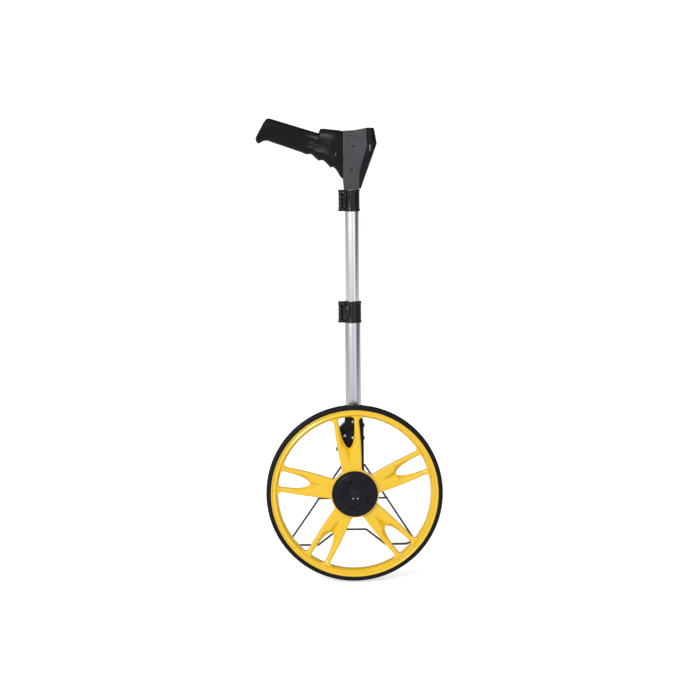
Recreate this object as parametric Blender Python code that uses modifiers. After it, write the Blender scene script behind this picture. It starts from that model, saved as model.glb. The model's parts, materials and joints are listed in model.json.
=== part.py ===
"""Digital measuring wheel, standing on its tyre and its wire stand.

Everything is laid out in the instrument's own frame: origin at the wheel's centre, X ahead of the user,
Y along the axle away from the wheel's face, Z up the telescopic pole. The "lean" empty then tips that
frame back onto the stand, so that the tyre's shoulder and both feet of the stand meet the floor at Z = 0.
Run with: blender --background --python part.py
"""

from math import acos, asin, cos, degrees, pi, radians, sin, sqrt, tan

import bmesh
import bpy
from mathutils import Matrix, Vector

MM = 0.001
GAP = 0.3  # between touching pieces

# Driving dimensions, in millimetres and degrees.
CIRCUMFERENCE = 1000.0
TYRE_RADIUS = CIRCUMFERENCE / (2 * pi)
TYRE_HALF_WIDTH = 10.25
TREAD_HALF_WIDTH = 5.8
RIM_RADIUS = 151.6
RIM_BED_RADIUS = 149.0
RIM_INNER_RADIUS = 138.4
RIM_HALF_WIDTH = 11.0
HUB_RING_RADIUS = 43.7
HUB_FRONT = -13.0
HUB_COVER_RADIUS = 40.3
SPOKE_COUNT = 5
SPOKE_START = 24.2
SPOKE_FRONT, SPOKE_BACK = -8.0, 4.0
SPOKE_HUB_HALF, SPOKE_RIM_HALF = 17.5, 25.0
SLOT_APEX_RADIUS, SLOT_RIM_HALF, SLOT_TIP_RADIUS = 82.0, 16.0, 5.5
HUB_SCREW_CIRCLE, HUB_SCREW_START = 24.5, 41.0
TYRE_STEPS = 70  # 4k + 2, so that one flat facet faces straight down
BEARING_BORE, BEARING_OUTSIDE, BEARING_WIDTH = 8.0, 22.0, 7.0
FRONT_BEARING_Y, REAR_BEARING_Y = -8.0, 5.6

LEAN = 13.5
POLE_Y = 32.0
FORK_FRONT, FORK_BACK = 15.6, 48.4
LOWER_TUBE_RADIUS, MIDDLE_TUBE_RADIUS, TOP_TUBE_RADIUS = 14.0, 12.5, 11.0
TUBE_WALL = 1.2
LOWER_TUBE_ENDS = (60.0, 340.8)
MIDDLE_TUBE_ENDS = (262.0, 541.0)
TOP_TUBE_ENDS = (336.0, 574.0)
CLAMP_HEIGHT = 38.6
LOWER_CLAMP_BASE, UPPER_CLAMP_BASE = 305.2, 505.6

STAND_PIVOT = (51.0, 44.0)  # y, z
STAND_LEG = 197.0
STAND_TOP_HALF, STAND_FOOT_HALF = 20.4, 121.0
STAND_WIRE = 1.9
STAND_FILLET = 14.0

HEAD_HALF, GRIP_HALF, NECK_HALF = 30.0, 17.0, 14.6
SHELL_WALL = 2.2
DECK_FRONT, DECK_BACK = (-15.7, 649.1), (-55.2, 653.6)


# ---------------------------------------------------------------- scene and helpers
def clear_scene():
    for old in list(bpy.data.objects):
        bpy.data.objects.remove(old)
    for name in ("measuring_wheel", "cutters"):
        collection = bpy.data.collections.get(name) or bpy.data.collections.new(name)
        if name not in bpy.context.scene.collection.children:
            bpy.context.scene.collection.children.link(collection)


def empty(name, location=(0, 0, 0), parent=None, turn=0.0):
    """A joint axis or frame: location in millimetres, turn in radians about X."""
    made = bpy.data.objects.new(name, None)
    made.location = Vector(location) * MM
    made.rotation_euler.x = turn
    made.parent = parent
    bpy.context.scene.collection.objects.link(made)
    return made


def material(name, colour, roughness=0.5, metallic=0.0):
    made = bpy.data.materials.new(name)
    made.use_nodes = True
    shader = made.node_tree.nodes["Principled BSDF"]
    shader.inputs["Base Color"].default_value = (*colour, 1.0)
    shader.inputs["Roughness"].default_value = roughness
    shader.inputs["Metallic"].default_value = metallic
    return made


FINISHES = {
    "rubber": ((0.03, 0.03, 0.03), 0.8, 0.0),
    "yellow": ((0.93, 0.58, 0.03), 0.4, 0.0),
    "black": ((0.02, 0.02, 0.025), 0.45, 0.0),
    "grey": ((0.08, 0.08, 0.1), 0.45, 0.0),
    "aluminium": ((0.62, 0.63, 0.66), 0.35, 1.0),
    "steel": ((0.55, 0.56, 0.58), 0.3, 1.0),
    "dark_steel": ((0.08, 0.08, 0.09), 0.4, 1.0),
    "board": ((0.02, 0.16, 0.07), 0.5, 0.0),
    "display": ((0.35, 0.4, 0.34), 0.25, 0.0),
    "glass": ((0.6, 0.65, 0.68), 0.05, 0.0),
}


def finish(piece, kind, parent, group="measuring_wheel"):
    """Gives a piece its own material, its parent and its collection."""
    colour, roughness, metallic = FINISHES[kind]
    piece.data.materials.clear()
    piece.data.materials.append(material(piece.name, colour, roughness, metallic))
    piece.parent = parent
    bpy.data.collections[group].objects.link(piece)
    return piece


def cutter(piece, parent):
    """A closed shape that only removes material."""
    piece.parent = parent
    piece.hide_render = True
    piece.display_type = "WIRE"
    bpy.data.collections["cutters"].objects.link(piece)
    return piece


def combine(piece, tool, operation="DIFFERENCE"):
    boolean = piece.modifiers.new(operation.lower(), "BOOLEAN")
    boolean.operation = operation
    boolean.object = tool
    return piece


def joined(piece, tool):
    """Unites piece with tool, and keeps tool among the cutters."""
    return combine(piece, tool, "UNION")


def turned(name, profile, along="Y", at=(0, 0, 0), steps=32):
    """A turned piece: profile holds (radius, height) points in millimetres. A profile whose ends lie on the
    axis is a solid; any other is a closed ring section. The axis runs along Y or Z."""
    points = [(r * MM, h * MM) for r, h in profile]
    ring = points[0][0] > 0
    if ring:
        pairs = zip(points, points[1:] + points[:1])
        area = sum(a[0] * b[1] - b[0] * a[1] for a, b in pairs)
        if area > 0:  # the outer side has to run downwards
            points.reverse()
    edges = [(i, i + 1) for i in range(len(points) - 1)]
    if ring:
        edges.append((len(points) - 1, 0))
    mesh = bpy.data.meshes.new(name)
    mesh.from_pydata([(r, 0, h) for r, h in points], edges, [])
    piece = bpy.data.objects.new(name, mesh)
    piece.location = Vector(at) * MM
    if along == "Y":
        piece.rotation_euler.x = radians(-90)
    screw = piece.modifiers.new("turn", "SCREW")
    screw.angle = 2 * pi
    screw.steps = steps
    screw.render_steps = steps
    screw.use_merge_vertices = True
    screw.merge_threshold = 0.00001
    screw.use_smooth_shade = True
    return piece


def tube(name, outer, inner, low, high, along="Y", at=(0, 0, 0), steps=24):
    section = [(outer, high), (outer, low), (inner, low), (inner, high)]
    return turned(name, section, along, at, steps)


def rod(name, radius, low, high, along="Y", at=(0, 0, 0), steps=24):
    return turned(name, [(0, high), (radius, high), (radius, low), (0, low)], along, at, steps)


def box(name, low, high, bevel=0.0):
    """A block between two corners."""
    mesh = bpy.data.meshes.new(name)
    shape = bmesh.new()
    bmesh.ops.create_cube(shape, size=1.0)
    size = [(b - a) * MM for a, b in zip(low, high)]
    bmesh.ops.scale(shape, vec=size, verts=shape.verts)
    shape.to_mesh(mesh)
    shape.free()
    piece = bpy.data.objects.new(name, mesh)
    piece.location = [(a + b) / 2 * MM for a, b in zip(low, high)]
    if bevel:
        edge = piece.modifiers.new("edge", "BEVEL")
        edge.width = bevel * MM
        edge.segments = 2
    return piece


def as_mesh(curve):
    """The curve's evaluated shape as a welded mesh object of the same name and place."""
    bpy.context.scene.collection.objects.link(curve)
    bpy.context.view_layer.update()
    graph = bpy.context.evaluated_depsgraph_get()
    mesh = bpy.data.meshes.new_from_object(curve.evaluated_get(graph))
    name, place, turn = curve.name, curve.location.copy(), curve.rotation_euler.copy()
    bpy.data.objects.remove(curve)
    shape = bmesh.new()
    shape.from_mesh(mesh)
    bmesh.ops.remove_doubles(shape, verts=shape.verts, dist=0.000005)
    bmesh.ops.recalc_face_normals(shape, faces=shape.faces)
    shape.to_mesh(mesh)
    shape.free()
    piece = bpy.data.objects.new(name, mesh)
    piece.location = place
    piece.rotation_euler = turn
    return piece


def slab(name, outlines, y_low, y_high):
    """A flat piece: closed outlines of (x, z) points in millimetres, thick from y_low to y_high."""
    data = bpy.data.curves.new(name, "CURVE")
    data.dimensions = "2D"
    data.fill_mode = "BOTH"
    data.extrude = (y_high - y_low) / 2 * MM
    for outline in outlines:
        spline = data.splines.new("POLY")
        spline.points.add(len(outline) - 1)
        for point, (x, z) in zip(spline.points, outline):
            point.co = (x * MM, z * MM, 0, 1)
        spline.use_cyclic_u = True
    curve = bpy.data.objects.new(name, data)
    curve.location.y = (y_low + y_high) / 2 * MM
    curve.rotation_euler.x = radians(90)
    return as_mesh(curve)


def arc(centre, radius, start, end, count):
    """Points on an arc, in degrees, ends included."""
    angles = [radians(start + (end - start) * i / count) for i in range(count + 1)]
    return [(centre[0] + radius * cos(a), centre[1] + radius * sin(a)) for a in angles]


def turn_points(points, angle):
    c, s = cos(radians(angle)), sin(radians(angle))
    return [(x * c - z * s, x * s + z * c) for x, z in points]


def wire(name, points, radius, resolution=2):
    """A round wire through points in millimetres, in its parent's frame."""
    data = bpy.data.curves.new(name, "CURVE")
    data.dimensions = "3D"
    data.bevel_depth = radius * MM
    data.bevel_resolution = resolution
    data.use_fill_caps = True
    spline = data.splines.new("POLY")
    spline.points.add(len(points) - 1)
    for point, place in zip(spline.points, points):
        point.co = (*(Vector(place) * MM), 1)
    return as_mesh(bpy.data.objects.new(name, data))


def shape_depth(piece, nominal, width_at, levels, along):
    """Cuts a slab's mesh across at the given levels along x (0) or z (1), then moves its outer faces
    from the nominal depth to width_at(level), so that a flat slab takes the head's tapered form."""
    shape = bmesh.new()
    shape.from_mesh(piece.data)
    normal = Vector((1, 0, 0)) if along == 0 else Vector((0, 1, 0))
    for level in levels:
        faces = shape.verts[:] + shape.edges[:] + shape.faces[:]
        bmesh.ops.bisect_plane(shape, geom=faces, plane_co=normal * level * MM, plane_no=normal)
    middle = piece.location.y / MM - POLE_Y
    for vertex in shape.verts:
        depth = vertex.co.z / MM - middle  # local z points towards the viewer, along -Y
        if abs(depth) > 1.0:
            depth *= width_at(vertex.co[along] / MM) / nominal
            vertex.co.z = (depth + middle) * MM
    bmesh.ops.triangulate(shape, faces=shape.faces[:])
    shape.to_mesh(piece.data)
    shape.free()
    return piece


def ease(t):
    t = min(max(t, 0.0), 1.0)
    return t * t * (3 - 2 * t)


# ---------------------------------------------------------------- the lean onto the stand
def shoulder_drop():
    """How far the tyre's shoulder falls, so that its bottom facet is level once the wheel leans."""
    run = TYRE_HALF_WIDTH - TREAD_HALF_WIDTH
    return run * tan(radians(LEAN)) / cos(pi / TYRE_STEPS)


def floor_contact():
    """The middle of the tyre's level facet, as (y, z) in the instrument's frame."""
    y = (TREAD_HALF_WIDTH + TYRE_HALF_WIDTH) / 2
    return y, -(TYRE_RADIUS - shoulder_drop() / 2) * cos(pi / TYRE_STEPS)


def stand_angle():
    """The stand's opening, from the height that its pivot has once the instrument leans."""
    y, z = floor_contact()
    lean = radians(LEAN)
    height = (STAND_PIVOT[1] - z) * cos(lean) - (STAND_PIVOT[0] - y) * sin(lean)
    return lean + acos((height - STAND_WIRE) / STAND_LEG)


def lean_frame():
    y, z = floor_contact()
    frame = empty("lean", turn=-radians(LEAN))
    rotation = Matrix.Rotation(-radians(LEAN), 4, "X")
    frame.location = -(rotation @ (Vector((0, y, z)) * MM))
    return frame


# ---------------------------------------------------------------- wheel
def make_tyre(axle):
    drop = shoulder_drop()
    bed, side = RIM_BED_RADIUS + GAP, RIM_RADIUS + GAP
    lip = 8.0
    half = [
        (TYRE_RADIUS, TREAD_HALF_WIDTH),
        (TYRE_RADIUS - drop, TYRE_HALF_WIDTH),
        (side, TYRE_HALF_WIDTH),
        (side, lip),
        (bed, lip),
    ]
    section = half + [(r, -y) for r, y in reversed(half)]
    finish(turned("tyre", section, steps=TYRE_STEPS), "rubber", axle)


def spoke_half_width(radius):
    share = (radius - HUB_RING_RADIUS) / (RIM_INNER_RADIUS - HUB_RING_RADIUS)
    return SPOKE_HUB_HALF + (SPOKE_RIM_HALF - SPOKE_HUB_HALF) * share


def window_outlines():
    """The five windows between the twin spokes, and the five slots in them."""
    outer, inner = RIM_INNER_RADIUS - 1.9, HUB_RING_RADIUS + 1.3
    pitch = 360 / SPOKE_COUNT
    rim_angle = degrees(asin(spoke_half_width(outer) / outer))
    hub_angle = degrees(asin(spoke_half_width(inner) / inner))
    window = arc((0, 0), outer, rim_angle, pitch - rim_angle, 12)
    window += arc((0, 0), inner, pitch - hub_angle, hub_angle, 6)
    tip = SLOT_APEX_RADIUS + SLOT_TIP_RADIUS
    side = sqrt(outer**2 - SLOT_RIM_HALF**2)
    slot = arc((tip, 0), SLOT_TIP_RADIUS, 110, 250, 6)
    slot += [(side, -SLOT_RIM_HALF), (outer, 0), (side, SLOT_RIM_HALF)]
    for k in range(SPOKE_COUNT):
        angle = SPOKE_START + pitch * k
        yield turn_points(window, angle)
        yield turn_points(slot, angle)


def hub_screw_places():
    for k in range(SPOKE_COUNT):
        angle = radians(HUB_SCREW_START + 360 / SPOKE_COUNT * k)
        yield k + 1, HUB_SCREW_CIRCLE * cos(angle), HUB_SCREW_CIRCLE * sin(angle)


def make_rim(axle):
    pocket = BEARING_OUTSIDE / 2 + 0.15
    bed_half = 8.3
    section = [
        (pocket, 10.0),
        (26.0, 10.0),
        (28.0, SPOKE_BACK),
        (RIM_INNER_RADIUS - 1.4, SPOKE_BACK),
        (RIM_INNER_RADIUS - 1.4, RIM_HALF_WIDTH),
        (RIM_RADIUS, RIM_HALF_WIDTH),
        (RIM_RADIUS, bed_half),
        (RIM_BED_RADIUS, bed_half),
        (RIM_BED_RADIUS, -bed_half),
        (RIM_RADIUS, -bed_half),
        (RIM_RADIUS, -RIM_HALF_WIDTH),
        (RIM_INNER_RADIUS, -RIM_HALF_WIDTH),
        (RIM_INNER_RADIUS - 0.6, SPOKE_FRONT),
        (HUB_RING_RADIUS, SPOKE_FRONT),
        (HUB_RING_RADIUS, HUB_FRONT),
        (pocket, HUB_FRONT),
    ]
    rim = finish(turned("wheel_rim", section, steps=70), "yellow", axle)
    for number, outline in enumerate(window_outlines()):
        window = slab(f"window_cut_{number}", [outline], SPOKE_FRONT - 2, SPOKE_BACK + 2)
        combine(rim, cutter(window, axle))
    for number, x, z in hub_screw_places():
        hole = rod(f"hub_hole_{number}", 1.7, HUB_FRONT - 1, HUB_FRONT + 8, at=(x, 0, z), steps=14)
        combine(rim, cutter(hole, axle))


def make_hub_cover(axle):
    back = HUB_FRONT - GAP
    section = [
        (9.5, back),
        (HUB_COVER_RADIUS, back),
        (HUB_COVER_RADIUS, back - 1.6),
        (HUB_COVER_RADIUS - 3, back - 3.0),
        (22.0, back - 3.7),
        (9.5, back - 3.7),
    ]
    cover = finish(turned("hub_cover", section, steps=44), "black", axle)
    for number, x, z in hub_screw_places():
        well = rod(f"screw_well_{number}", 3.3, back - 6, back - 1.5, at=(x, 0, z), steps=14)
        shank = rod(f"screw_way_{number}", 1.7, back - 6, back + 1, at=(x, 0, z), steps=14)
        combine(cover, cutter(well, axle))
        combine(cover, cutter(shank, axle))
        head = back - 1.5 - GAP
        profile = [
            (0, back + 7),
            (1.4, back + 7),
            (1.4, head),
            (2.9, head),
            (2.9, head - 1.4),
            (0, head - 1.4),
        ]
        finish(turned(f"hub_screw_{number}", profile, at=(x, 0, z), steps=12), "steel", axle)


def make_bearings(axle, lean):
    half = BEARING_WIDTH / 2
    places = (("front", FRONT_BEARING_Y), ("rear", REAR_BEARING_Y))
    for side, y in places:
        outer = tube(f"{side}_bearing_outer_race", BEARING_OUTSIDE / 2, 9.2, y - half, y + half)
        finish(outer, "steel", axle)
        finish(tube(f"{side}_bearing_balls", 8.9, 6.6, y - 2.4, y + 2.4), "steel", axle)
        inner = tube(f"{side}_bearing_inner_race", 6.3, BEARING_BORE / 2 + 0.25, y - half, y + half)
        finish(inner, "steel", lean)
    spacer = (FRONT_BEARING_Y + half + GAP, REAR_BEARING_Y - half - GAP)
    finish(tube("bearing_spacer", 6.0, 4.25, *spacer), "aluminium", lean)
    finish(tube("axle_spacer", 7.0, 4.25, REAR_BEARING_Y + half + GAP, FORK_FRONT - GAP), "aluminium", lean)
    finish(tube("magnet_ring", 20.0, 15.0, 10.0 + GAP, 12.8), "dark_steel", axle)


def make_axle(lean):
    shaft = BEARING_BORE / 2
    back = FORK_BACK + GAP
    profile = [(0, back + 5.0), (6.6, back + 5.0), (6.6, back), (shaft, back), (shaft, -19.5), (0, -19.5)]
    finish(turned("axle_bolt", profile, steps=24), "dark_steel", lean)
    thread = (shaft + GAP) / cos(pi / 6)  # the flats of its six-sided bore clear the shaft
    nut = tube("axle_nut", 7.5, thread, -18.4, -11.5 - GAP, steps=6)
    finish(nut, "steel", lean)


# ---------------------------------------------------------------- fork, pole and clamps
def fork_outline():
    """The arm seen from the wheel: socket, side lobe, and a round boss about the axle."""
    return [
        (16.2, 155),
        (-15.8, 155),
        (-15.8, 125),
        (-23, 118),
        (-31, 109),
        (-31, 102),
        (-29, 78),
        (-22.5, 50),
        *arc((0, 0), 21.0, 170, 370, 14),
        (18, 50),
        (18, 122),
        (16.2, 133),
    ]


def make_fork(lean):
    front = slab("fork_front_shell", [fork_outline()], FORK_FRONT, POLE_Y - GAP / 2)
    back = slab("fork_rear_shell", [fork_outline()], POLE_Y + GAP / 2, FORK_BACK)
    finish(front, "black", lean)
    finish(back, "black", lean)
    wall = 2.6
    channel = rod("tube_channel", LOWER_TUBE_RADIUS + GAP, 58, 160, "Z", (0, POLE_Y, 0))
    cavity = box("sensor_cavity", (-14.5, FORK_FRONT + wall, 12), (13.5, FORK_BACK - wall, 54))
    lobe = box("lobe_cavity", (-27.5, FORK_FRONT + wall, 84), (-18.5, FORK_BACK - wall, 104))
    bore = rod("axle_bore", BEARING_BORE / 2 + GAP, FORK_FRONT - 2, FORK_BACK + 2, steps=24)
    for tool in (channel, cavity, lobe, bore):
        cutter(tool, lean)
        combine(front, tool)
        combine(back, tool)
    for number, (x, z) in enumerate(((-1.4, 127), (-1.2, 97.4), (-22.5, 70.0)), 1):
        way = rod(f"fork_way_{number}", 1.9, FORK_FRONT - 2, FORK_FRONT + 2.2, at=(x, 0, z), steps=14)
        combine(front, cutter(way, lean))
        face = FORK_FRONT - GAP
        profile = [
            (0, FORK_FRONT + 1.9),
            (1.5, FORK_FRONT + 1.9),
            (1.5, face),
            (3.2, face),
            (2.6, face - 1.7),
            (0, face - 1.7),
        ]
        finish(turned(f"fork_screw_{number}", profile, at=(x, 0, z), steps=12), "steel", lean)
    for number, z in ((1, 118.2), (2, 95.1)):
        bolt = box(f"side_bolt_{number}", (18 + GAP, 34.5, z - 3), (20.4, 40.5, z + 3), bevel=1.0)
        finish(bolt, "dark_steel", lean)
    finish(box("sensor_board", (-10, 19.4, 26), (10, 21.0, 50)), "board", lean)
    block = box("stand_hinge_block", (-16, FORK_BACK + GAP, 38), (16, FORK_BACK + 6.4, 50), bevel=1.2)
    finish(block, "black", lean)
    bore = rod("hinge_bore", STAND_WIRE + GAP, -20, 20, "Z", (0, *STAND_PIVOT), steps=12)
    bore.rotation_euler.y = radians(90)
    combine(block, cutter(bore, lean))


def make_tubes(lean):
    inner = LOWER_TUBE_RADIUS - TUBE_WALL
    lower = tube("lower_tube", LOWER_TUBE_RADIUS, inner, *LOWER_TUBE_ENDS, "Z", (0, POLE_Y, 0), 28)
    finish(lower, "aluminium", lean)
    stages = (
        ("middle_tube", MIDDLE_TUBE_RADIUS, MIDDLE_TUBE_ENDS),
        ("top_tube", TOP_TUBE_RADIUS, TOP_TUBE_ENDS),
    )
    for name, radius, (low, high) in stages:
        inner = radius - TUBE_WALL
        piece = tube(name, radius, inner, low, high, "Z", (0, POLE_Y, 0), 28)
        finish(piece, "aluminium", lean)
        spigot = inner - GAP
        section = [
            (radius, low - GAP),
            (radius, low - 9),
            (6.0, low - 9),
            (6.0, low + 10),
            (spigot, low + 10),
            (spigot, low - GAP),
        ]
        bush = turned(f"{name}_bush", section, "Z", (0, POLE_Y, 0), 28)
        finish(bush, "black", lean)


def make_clamp(name, base, tube_radius, inner_radius, ring_radius, pin_x, parent):
    """A flip-lock clamp: a collar with two ears, and a lever that turns on a pin between them.
    ring_radius is the collar's outside, and pin_x the pin's distance from the pole's axis."""
    top = base + CLAMP_HEIGHT
    place = (0, POLE_Y, 0)
    lip = top - 2.6
    section = [
        (ring_radius, top),
        (ring_radius, base),
        (tube_radius + GAP, base),
        (tube_radius + GAP, lip),
        (inner_radius + GAP, lip),
        (inner_radius + GAP, top),
    ]
    collar = finish(turned(f"{name}_clamp_collar", section, "Z", place, 28), "black", parent)
    reach, ear = 4.6, 5.0
    for end, low, high in (("low", base, base + ear), ("high", top - ear, top)):
        near_corner = (-pin_x - reach, POLE_Y - reach, low)
        far_corner = (-ring_radius + 1.2, POLE_Y + reach, high)
        tongue = box(f"{name}_ear_{end}", near_corner, far_corner, 1.2)
        joined(collar, cutter(tongue, parent))
    pin_place = (-pin_x, POLE_Y, 0)
    hole = rod(f"{name}_pin_hole", 1.5 + GAP, base - 1, top + 1, "Z", pin_place, steps=12)
    combine(collar, cutter(hole, parent))
    pin = rod(f"{name}_clamp_pin", 1.5, base + 0.2, top - 0.2, "Z", pin_place, steps=12)
    finish(pin, "steel", parent)
    axis = empty(f"{name}_lever_axis", (-pin_x, POLE_Y, base + CLAMP_HEIGHT / 2), parent)
    half = CLAMP_HEIGHT / 2 - ear - GAP
    lever = finish(rod(f"{name}_clamp_lever", 4.2, -half, half, "Z", steps=24), "black", axis)
    inner, outer = ring_radius + 0.6, ring_radius + 3.4
    plate = arc((0, 0), outer, 184, 252, 10) + arc((0, 0), inner, 252, 184, 10)
    blade = slab(f"{name}_blade", [plate], -half, half)
    blade.rotation_euler.x = 0  # the outline lies in the plan view here
    blade.location = Vector((pin_x, 0, 0)) * MM
    joined(lever, cutter(blade, axis))
    eye = rod(f"{name}_lever_eye", 1.5 + GAP, -half - 1, half + 1, "Z", steps=12)
    combine(lever, cutter(eye, axis))


# ---------------------------------------------------------------- stand
def rounded(points, radius, steps=4):
    """The path through points with its inner corners rounded to the given radius."""
    path = [Vector(points[0])]
    for before, corner, after in zip(points, points[1:], points[2:]):
        before, corner, after = Vector(before), Vector(corner), Vector(after)
        a, b = (before - corner).normalized(), (after - corner).normalized()
        half = a.angle(b) / 2
        centre = corner + (a + b).normalized() * radius / sin(half)
        start = corner + a * radius / tan(half)
        end = corner + b * radius / tan(half)
        for i in range(steps + 1):
            share = i / steps
            spoke = (start - centre).slerp(end - centre, share).normalized() * radius
            path.append(centre + spoke)
    path.append(Vector(points[-1]))
    return path


def make_stand(lean):
    """The stand lies in its own XZ plane, with the legs hanging along -Z from the pivot."""
    axis = empty("stand_axis", (0, *STAND_PIVOT), lean, turn=stand_angle())
    raised, inner_half, foot_half = 38.0, 25.6, 62.4
    half_route = [
        (9.0, 0, 0),
        (STAND_TOP_HALF, 0, 0),
        (STAND_FOOT_HALF, 0, -STAND_LEG),
        (foot_half, 0, -STAND_LEG),
        (inner_half, 0, raised - STAND_LEG),
    ]
    radii = (2.5, STAND_FILLET, 5.0, 5.0)
    half = [Vector(half_route[0])]
    corners = half_route + [(0, 0, raised - STAND_LEG)]
    for i, radius in enumerate(radii):
        steps = 6 if radius > 10 else 3
        half += rounded(corners[i : i + 3], radius, steps)[1:-1]
    route = half + [Vector((-p.x, p.y, p.z)) for p in reversed(half)]
    finish(wire("stand_wire", route, STAND_WIRE), "dark_steel", axis)
    share = 0.43
    reach = STAND_TOP_HALF + (STAND_FOOT_HALF - STAND_TOP_HALF) * share + 1.0
    behind, level = 2 * STAND_WIRE + GAP, -STAND_LEG * share
    bar = [(x, behind, level) for x in (-reach, 0, reach)]
    finish(wire("stand_crossbar", bar, STAND_WIRE), "dark_steel", axis)


# ---------------------------------------------------------------- handle and head
def grip_outline():
    """Grip and rear housing in side view, clockwise from the pommel's top corner."""
    top = [(-151.7, 672.2), (-146.5, 672.8), (-58.2, 645.5), (-56.0, 650.6), (-16.4, 646.2)]
    front = [(-16.4, 566)]
    fingers = [(-20.1, 567.0), (-23.8, 573.7), (-28.2, 581.9), (-31.5, 582.3), (-36.5, 584.6)]
    fingers += [(-41.6, 588.1), (-46.7, 594.1), (-53.3, 597.1), (-59.4, 597.4), (-63.8, 601.7)]
    fingers += [(-69.7, 606.9), (-79.5, 608.2), (-89.0, 610.9), (-114.3, 620.0)]
    under = [(-136.6, 628.2), (-151.4, 632.8), (-158.9, 632.1), (-166.6, 627.6)]
    pommel = [(-170.8, 633.0), (-171.9, 636.7), (-169.8, 641.9), (-156.3, 666.3)]
    return top + front + fingers + under + pommel


def grip_cavity():
    """The hollow of grip and rear housing, one wall inside the outline."""
    top = [(-149.0, 669.5), (-63.5, 643.1), (-53.5, 647.0), (-18.8, 643.2)]
    under = [(-18.8, 572.0), (-27.0, 586.0), (-42.0, 592.5), (-63.5, 605.0), (-90.0, 614.0)]
    return top + under + [(-150.0, 635.6), (-164.0, 636.0), (-165.5, 641.0)]


def grip_width(x):
    return GRIP_HALF + (HEAD_HALF - GRIP_HALF) * ease((x + 86) / 62)


def head_width(z):
    return NECK_HALF + (HEAD_HALF - NECK_HALF) * ease((z - 540) / 70)


GRIP_LEVELS = (-80, -66, -54, -42, -33.5)
HEAD_LEVELS = (555, 567, 579, 591, 603)


def make_grip(lean):
    depth = HEAD_HALF
    sides = (("near", -depth, -GAP / 2), ("far", GAP / 2, depth))
    for side, low, high in sides:
        shell = slab(f"grip_{side}_shell", [grip_outline()], POLE_Y + low, POLE_Y + high)
        shape_depth(shell, depth, grip_width, GRIP_LEVELS, 0)
        finish(shell, "black", lean)
        sign = -1 if side == "near" else 1
        ends = sorted((POLE_Y - sign * 0.5, POLE_Y + sign * (depth - SHELL_WALL)))
        hollow = slab(f"grip_{side}_hollow", [grip_cavity()], *ends)
        shape_depth(hollow, depth - SHELL_WALL, lambda x: grip_width(x) - SHELL_WALL, GRIP_LEVELS, 0)
        combine(shell, cutter(hollow, lean))
        keys = box(f"key_opening_{side}", (-52, POLE_Y - 15, 625), (-21, POLE_Y + 15, 656))
        combine(shell, cutter(keys, lean))
        if side == "far":
            for number, (x, z) in enumerate(((-140, 648), (-97, 634), (-30, 620)), 1):
                face = POLE_Y + grip_width(x)
                way = rod(f"grip_way_{number}", 1.8, face - 4, face + 2, at=(x, 0, z), steps=14)
                combine(shell, cutter(way, lean))
                head = face + GAP
                profile = [
                    (0, head + 1.2),
                    (2.9, head + 1.2),
                    (2.9, head),
                    (1.4, head),
                    (1.4, face - 6),
                    (0, face - 6),
                ]
                screw = turned(f"grip_screw_{number}", profile, at=(x, 0, z), steps=14)
                finish(screw, "steel", lean)


def deck_height(x):
    share = (x - DECK_BACK[0]) / (DECK_FRONT[0] - DECK_BACK[0])
    return DECK_BACK[1] + (DECK_FRONT[1] - DECK_BACK[1]) * share


def make_keys(lean):
    """The key plate on the thumb deck, and three sprung keys in its holes."""
    start, end, thick = -55.4, -16.2, 2.5
    outline = [
        (start, deck_height(start)),
        (end, deck_height(end)),
        (end, deck_height(end) - thick),
        (start, deck_height(start) - thick),
    ]
    plate = slab("key_plate", [outline], POLE_Y - 19, POLE_Y + 19)
    finish(plate, "black", lean)
    slope = (DECK_FRONT[1] - DECK_BACK[1]) / (DECK_FRONT[0] - DECK_BACK[0])
    for name, x in (("power", -46.0), ("mode", -35.5), ("reset", -25.0)):
        key_axis = empty(f"{name}_key_axis", (x, POLE_Y, deck_height(x)), lean)
        key_axis.rotation_euler.y = -slope
        hole = rod(f"{name}_key_hole", 4.4, -6, 4, "Z", steps=20)
        combine(plate, cutter(hole, key_axis))
        section = [(0, -0.2), (3.4, -0.2), (4.0, -0.7), (4.0, -3.4), (0, -3.4)]
        finish(turned(f"{name}_key", section, "Z", steps=20), "grey", key_axis)


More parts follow.
